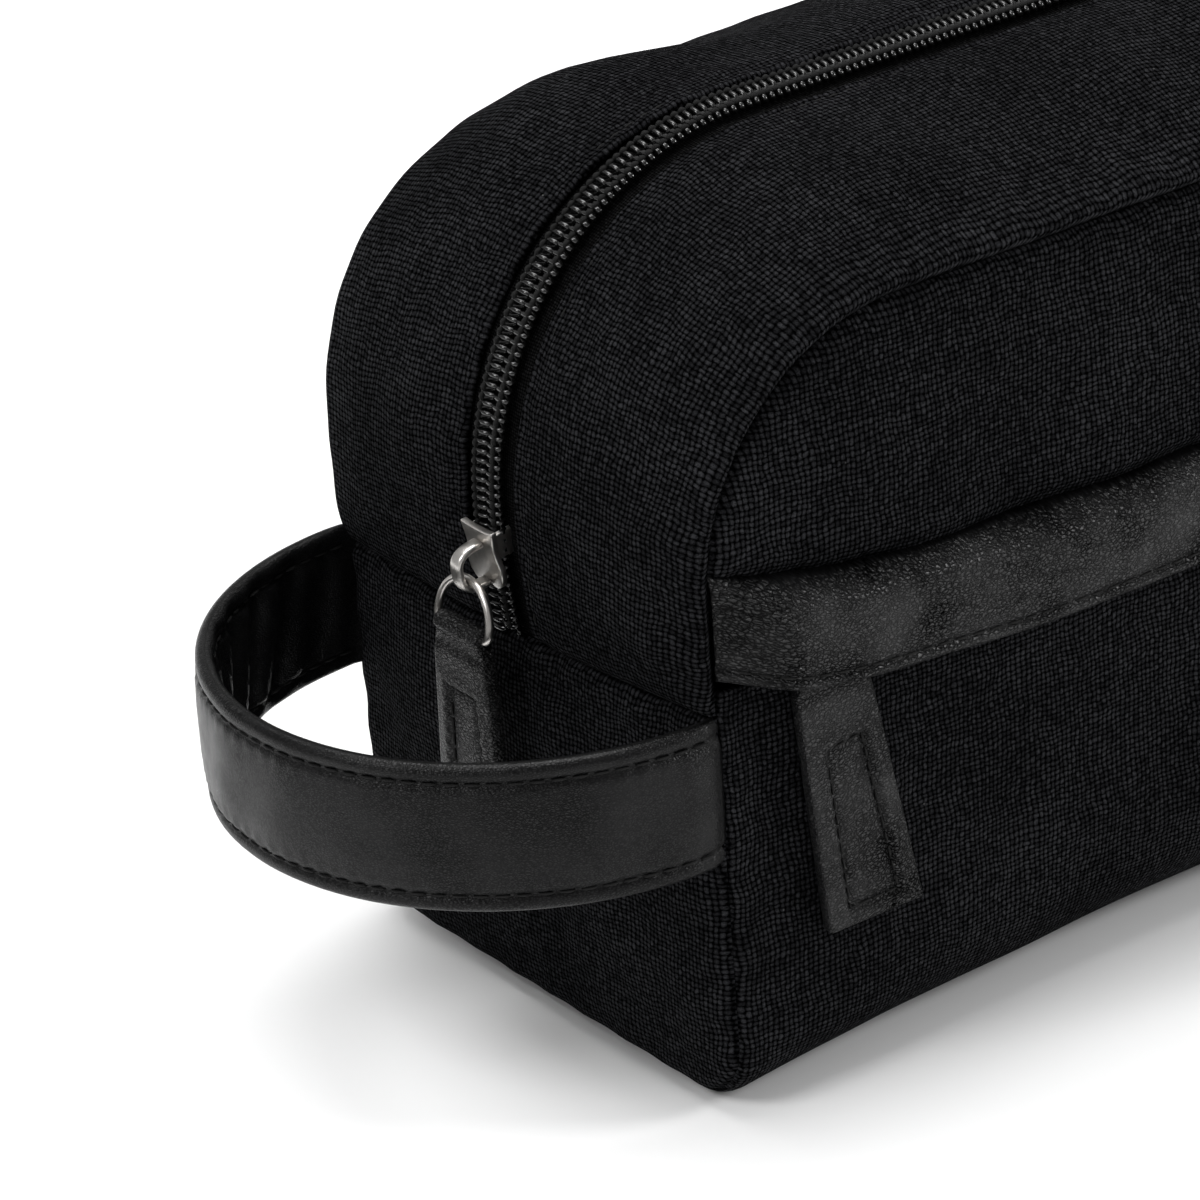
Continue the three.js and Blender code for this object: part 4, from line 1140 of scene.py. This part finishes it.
def box_half_width(y, box_top):
    """Half the width of the stitched box on a tab, which widens a little downwards."""
    return 3.4 + 0.045 * np.clip(box_top - y, 0, None)


def cut_slanting(x, y, length, slant):
    """A tab's foot is cut a little aslant, so that its edge is level when the tab hangs to one side."""
    return y - slant * x * np.clip(-y / length, 0, 1) ** 2


def pull_tab(name, matrix, size, slant=0.0):
    """Leather folded round the bar at the origin, with a sunk stitched box on its face."""
    length, box_top = size
    y = spaced(-length, -1.0, 0.5, (0, 0.15, 0.35, 0.6, 0.95))[::-1]
    reach = spaced(-1, 1, 0.05, (0, 0.012, 0.03, 0.055, 0.09))
    yy, rr = np.meshgrid(y, reach, indexing="ij")
    corner = 0.6
    tip = np.clip(corner - (yy + length), 0, corner)
    x = rr * (tab_half_width(yy) - corner + np.sqrt(corner ** 2 - tip ** 2))
    edge = np.minimum((1 - np.abs(rr)) * tab_half_width(yy), yy + length)
    rim = TAB_HALF - shoulder(edge, 0.5, 0.8)
    beside = np.abs(x) - box_half_width(yy, box_top)
    above = np.abs(yy - (box_top - BOX_LENGTH / 2)) - BOX_LENGTH / 2
    to_box = np.maximum(beside, above)
    pull = 0.14 * np.sin(2 * math.pi * (x + yy) / 2.7) * np.exp(-((to_box - 0.7) / 0.6) ** 2)
    groove = 0.62 * np.exp(-(to_box / 0.5) ** 2)
    sunk = 0.3 * np.clip(-to_box / 0.5, 0, 1)
    cushion = 0.25 * np.exp(-((to_box - 1.5) / 1.0) ** 2) + 0.22 * np.exp(-((to_box + 2.6) / 1.5) ** 2)
    crease = 0.35 * np.exp(-((yy + 3.2) / 0.9) ** 2)
    front = rim - groove - sunk + cushion - crease + pull
    loop_turn = np.linspace(0, math.pi, 22)
    loop_x = np.broadcast_to(reach * tab_half_width(np.array(-1.0)), (len(loop_turn), len(reach)))
    swelling = LOOP_RADIUS - shoulder((1 - np.abs(reach)) * 5.8, 0.5, 0.8)
    loop_y = np.sin(loop_turn)[:, None] * swelling[None, :]
    loop_z = -np.cos(loop_turn)[:, None] * swelling[None, :]
    loop = np.stack([loop_x, loop_y, loop_z], -1)
    slanted = cut_slanting(x, yy, length, slant)
    back = np.stack([x, slanted, -rim], -1)[::-1]
    points = np.concatenate([back, loop, np.stack([x, slanted, front], -1)])
    rows, columns = points.shape[:2]
    faces = grid_faces(rows, columns)
    for j in (0, columns - 1):
        for i in range(rows // 2 - 1):
            far_row = rows - 2 - i
            faces.append([i * columns + j, (i + 1) * columns + j, far_row * columns + j,
                          (far_row + 1) * columns + j])
        if rows % 2:
            i = rows // 2
            faces.append([(i - 1) * columns + j, i * columns + j, (i + 1) * columns + j])
    last = (rows - 1) * columns
    for j in range(columns - 1):
        faces.append([j, j + 1, last + j + 1, last + j])
    tab = mesh_object(name, points, faces, TAB_LOOK, points.reshape(-1, 3) + [0, 0, 40])
    tidy_normals(tab)
    return placed(tab, matrix)


def tab_stitches(name, matrix, size, slant=0.0):
    """The stitches round a tab's box."""
    length, box_top = size
    low = box_top - BOX_LENGTH
    wide, narrow = box_half_width(low, box_top), box_half_width(box_top, box_top)
    corners = [(-narrow, box_top), (narrow, box_top), (wide, low), (-wide, low), (-narrow, box_top)]
    path = []
    for (x0, y0), (x1, y1) in zip(corners, corners[1:]):
        for f in np.linspace(0, 1, 24)[:-1]:
            x, y = x0 + (x1 - x0) * f, y0 + (y1 - y0) * f
            path.append((x, cut_slanting(x, y, length, slant), TAB_HALF - BOX_GROOVE))
    stitches = stitch_row(name, path, (0, 0, 1), pitch=2.7, length=2.0, radius=0.24)
    return placed(stitches, matrix)


# ---------------------------------------------------------------- build
def own(piece, body, slot, *nodes):
    """Rides a piece on its body, and hides the CAD nodes that it stands for."""
    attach(piece, body)
    if nodes:
        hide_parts(*nodes)
    return piece


def swinging(piece, body, slot, start, end, *nodes):
    """The same for a soft piece of the bag, baked where it lies and ridden on the bag itself; body, start and end
    are not used.
    """
    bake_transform(piece)
    return own(piece, "bag", slot, *nodes)


def build_canvas():
    body = canvas_body("canvas_body", HALF_DEPTH, POCKET_ZIP_Z - POCKET_EDGE)
    own(body, "bag", "canvas", "main_wrap")
    own(upper_front_canvas(), "bag", "canvas", "front_upper_panel")
    for side, name in ((-1, "left"), (1, "right")):
        own(end_panel(f"{name}_end_canvas", side), "bag", "canvas", f"{name}_end_panel")
        lining = end_panel(f"{name}_end_lining", side, LINING_INSET, LINING_LOOK, LINING)
        own(lining, "bag", "lining", f"lining_{name}_end")
    lining = canvas_body("body_lining", LINING_FRONT + LINING_INSET, TOP_SEAM_Z - 3,
                         LINING_INSET, LINING, LINING_LOOK)
    own(lining, "bag", "lining", "lining_wrap")


def build_main_zip():
    """Both strips of canvas, tape and lining beside the zip, with its coil and stitches."""
    # name, nearest and farthest place from the zip's middle, depth, thickness and look of each layer
    layers = (
        ("canvas", CANVAS_EDGE, HALF_DEPTH, 0.0, CANVAS, CANVAS_LOOK),
        ("zip_tape", 0.3, 12.5, 1.5, 0.5, TAPE_LOOK),
        ("lining", 8.5, HALF_DEPTH - 3.5, 2.6, LINING, LINING_LOOK),
    )
    for side, side_name in ((-1, "left"), (1, "right")):
        start, end = (side * FLAP_END_X * MM, 0, 0.13), (side * FLAP_X * MM, 0, 0.13)
        for face, face_name in ((-1, "front"), (1, "back")):
            flap, place = f"top_{face_name}_flap", f"{side_name}_{face_name}"
            for layer, *shape in layers:
                piece = top_layer(f"{place}_{layer}_sheet", side, face, *shape, layer == "canvas")
                swinging(piece, flap, layer, start, end, f"{place}_{layer}", f"top_{face_name}_{layer}")
            foot = side * (ZIP_LENGTH - 0.4)
            row = coil_row(f"{place}_coil_row", 0.0, foot, face, main_zip_centre)
            swinging(row, flap, "zip_coil", start, end, f"{place}_zip_coil", f"top_{face_name}_zip_coil",
                     f"main_zip_stop_{side_name}")
            for stitches in (topstitch(side, face), coil_binding(side, face)):
                swinging(stitches, flap, "thread", start, end)


def build_pocket():
    """Leather band, pocket bag and the pocket's zip."""
    own(leather_band(), "bag", "leather", "zip_flap_band", "zip_flap_fold")
    own(band_stitches(), "bag", "thread", "band_stitching")
    own(pocket_bag(), "bag", "lining", "pocket_bag")
    low, high = box_mm("pocket_zip_coil_upper")
    for face, name in ((1, "upper"), (-1, "lower")):
        tape = pocket_tape(f"pocket_tape_{name}", f"pocket_zip_tape_{name}")
        own(tape, "bag", "zip_tape", f"pocket_zip_tape_{name}")
        own(coil_row(f"pocket_coil_{name}_row", low[0], high[0], face, pocket_zip_centre),
            "bag", "zip_coil", f"pocket_zip_coil_{name}")


def build_seam_folds():
    for face, name in ((-1, "front"), (1, "back")):
        for side, part in ((-1, "left"), (0, "middle"), (1, "right")):
            piece, start, end = seam_fold(f"{name}_{part}_seam_fold", face, side)
            swinging(piece, f"top_{name}_flap", "lining", tuple(start), tuple(end))


def build_handle():
    swinging(handle_strap(), "handle", "leather", HANDLE_FIXED, HANDLE_FREE, "handle_outer_leather",
             "handle_inner_leather", "handle_front_tail", "handle_back_tail")
    for name, z in (("upper", HANDLE_HIGH - 3), ("lower", HANDLE_LOW + 3)):
        for face in ("outer", "inner"):
            row = handle_stitches(f"handle_{name}_{face}_stitches", z, face == "inner")
            swinging(row, "handle", "thread", HANDLE_FIXED, HANDLE_FREE, f"handle_{name}_stitching")


def joint_mm(name):
    """Place of a joint in millimetres."""
    found = next(joint for joint in frame["joints"] if joint["name"] == name)
    return Vector(found["pos_m"]) * 1000


def build_main_slider():
    """Slider of the main zip on the left bend, with its ring and tab hanging in the handle."""
    eye, bar = joint_mm("main_ring_swing"), joint_mm("main_pull_swing")
    angle = math.asin((MAIN_SLIDER_Z - ZIP_CENTRE_Z) / ZIP_RADIUS)
    outward = Vector((-math.cos(angle), 0, math.sin(angle)))
    travel = Vector((math.sin(angle), 0, math.cos(angle)))
    origin = Vector((-ZIP_BEND_X, 0, ZIP_CENTRE_Z)) + outward * ZIP_RADIUS
    at_slider = axes_at(origin, travel.cross(outward), travel, outward)
    own(slider_body("main_slider", at_slider), "main_slider", "nickel", "main_slider_body")
    crown = slider_crown("main_crown", at_slider, low_y=-4.9, high_y=3.0, top=8.2)
    own(crown, "main_slider", "nickel", "main_slider_crown")
    hang = (eye - bar).normalized()
    front = Vector((0, -1, 0))
    at_eye = axes_at(eye, front, hang, front.cross(hang))
    ring = wire_ring("main_wire_ring", at_eye, MAIN_RING_RISE, (eye - bar).length)
    own(ring, "main_ring", "nickel", "main_ring")
    at_bar = axes_at(bar, front, (0, 0, 1), (-1, 0, 0))
    own(pull_tab("main_tab", at_bar, MAIN_TAB), "main_pull", "leather", "main_pull_tab")
    stitches = tab_stitches("main_tab_stitches", at_bar, MAIN_TAB)
    own(stitches, "main_pull", "thread", "main_pull_stitching")


def build_pocket_slider():
    """Slider of the pocket's zip, hidden by the band, with a tab that hangs out below it."""
    low, high = box_mm("pocket_slider_body")
    centre = (low + high) / 2
    origin = (centre[0], -HALF_DEPTH + 2, centre[2])
    at_slider = axes_at(origin, (0, 0, -1), (1, 0, 0), (0, -1, 0))
    own(slider_body("pocket_slider", at_slider), "pocket_slider", "nickel", "pocket_slider_body")
    at_crown = axes_at(origin, (1, 0, 0), (0, 0, 1), (0, -1, 0))
    crown = slider_crown("pocket_crown", at_crown, low_y=-3.8, high_y=3.8, top=6.8)
    own(crown, "pocket_slider", "nickel", "pocket_slider_crown")
    eye, bar = joint_mm("pocket_ring_swing"), joint_mm("pocket_pull_swing")
    up = (eye - bar).normalized()
    front = Vector((0, -1, 0))
    across = up.cross(front)
    at_eye = axes_at(eye, across, up, front)
    ring = wire_ring("pocket_wire_ring", at_eye, POCKET_RING_RISE, (eye - bar).length)
    own(ring, "pocket_ring", "nickel", "pocket_ring")
    at_bar = axes_at(bar, across, up, front)
    slant = across.z / across.x
    own(pull_tab("pocket_tab", at_bar, POCKET_TAB, slant), "pocket_pull", "leather", "pocket_pull_tab")
    stitches = tab_stitches("pocket_tab_stitches", at_bar, POCKET_TAB, slant)
    own(stitches, "pocket_pull", "thread", "pocket_pull_stitching")


def dress_cad_nodes():
    """CAD nodes that stay, such as the zips' end stops, take a finished material."""
    looks = {
        "canvas": CANVAS_LOOK,
        "leather": HANDLE_LOOK,
        "lining": LINING_LOOK,
        "nickel": NICKEL_LOOK,
        "thread": THREAD_LOOK,
        "zip_coil": NYLON_LOOK,
        "zip_tape": TAPE_LOOK,
    }
    slots = {part["node"]: part["material_slot"] for part in frame["record"]["subparts"]}
    for name, obj in frame["nodes"].items():
        obj.data.materials.clear()
        obj.data.materials.append(looks[slots[name]])


# ---------------------------------------------------------------- camera, floor and lights
def build_camera():
    level = math.cos(CAMERA_PITCH)
    forward = Vector((level * math.cos(CAMERA_YAW), level * math.sin(CAMERA_YAW), -math.sin(CAMERA_PITCH)))
    right = Vector((math.sin(CAMERA_YAW), -math.cos(CAMERA_YAW), 0.0))
    up = right.cross(forward)
    tilted_right = right * math.cos(CAMERA_TILT) + up * math.sin(CAMERA_TILT)
    tilted_up = up * math.cos(CAMERA_TILT) - right * math.sin(CAMERA_TILT)
    data = bpy.data.cameras.new("camera")
    data.sensor_width = CAMERA_SENSOR
    data.lens = CAMERA_LENS
    data.clip_start = 0.01
    camera = bpy.data.objects.new("camera", data)
    camera.matrix_world = axes_at(Vector(CAMERA_PLACE) * MM, tilted_right, tilted_up, -forward)
    bpy.context.scene.collection.objects.link(camera)
    bpy.context.scene.camera = camera


def build_lights():
    for name, place, size, power in LIGHTS:
        data = bpy.data.lights.new(name, "AREA")
        data.shape = "RECTANGLE"
        data.size, data.size_y = size
        data.energy = power
        lamp = bpy.data.objects.new(name, data)
        lamp.location = place
        aim = Vector(LIGHT_TARGET) - Vector(place)
        lamp.rotation_euler = aim.to_track_quat("-Z", "Y").to_euler()
        bpy.context.scene.collection.objects.link(lamp)


def build_stage():
    s = Shader("pale_floor")
    place = s.add("ShaderNodeTexCoord", output=3)
    s.finish(Base_Color=s.mix(s.noise(place, 3.0), grey(0.96), grey(0.98)), Roughness=0.9)
    mesh = bpy.data.meshes.new("floor")
    corners = [(-1, -1), (1, -1), (1, 1), (-1, 1)]
    mesh.from_pydata([(x * FLOOR_HALF, y * FLOOR_HALF, 0) for x, y in corners], [], [(0, 1, 2, 3)])
    floor = bpy.data.objects.new("floor", mesh)
    floor.data.materials.append(s.material)
    floor.location.z = -0.0004
    bpy.context.scene.collection.objects.link(floor)
    world = bpy.data.worlds.new("studio")
    world.use_nodes = True
    background = world.node_tree.nodes["Background"]
    background.inputs["Color"].default_value = (1.0, 1.0, 1.0, 1.0)
    background.inputs["Strength"].default_value = SURROUNDINGS
    bpy.context.scene.world = world
    bpy.context.scene.view_settings.view_transform = "Standard"


build_camera()
dress_cad_nodes()
build_canvas()
build_main_zip()
build_pocket()
build_seam_folds()
build_handle()
build_main_slider()
build_pocket_slider()
build_stage()
build_lights()
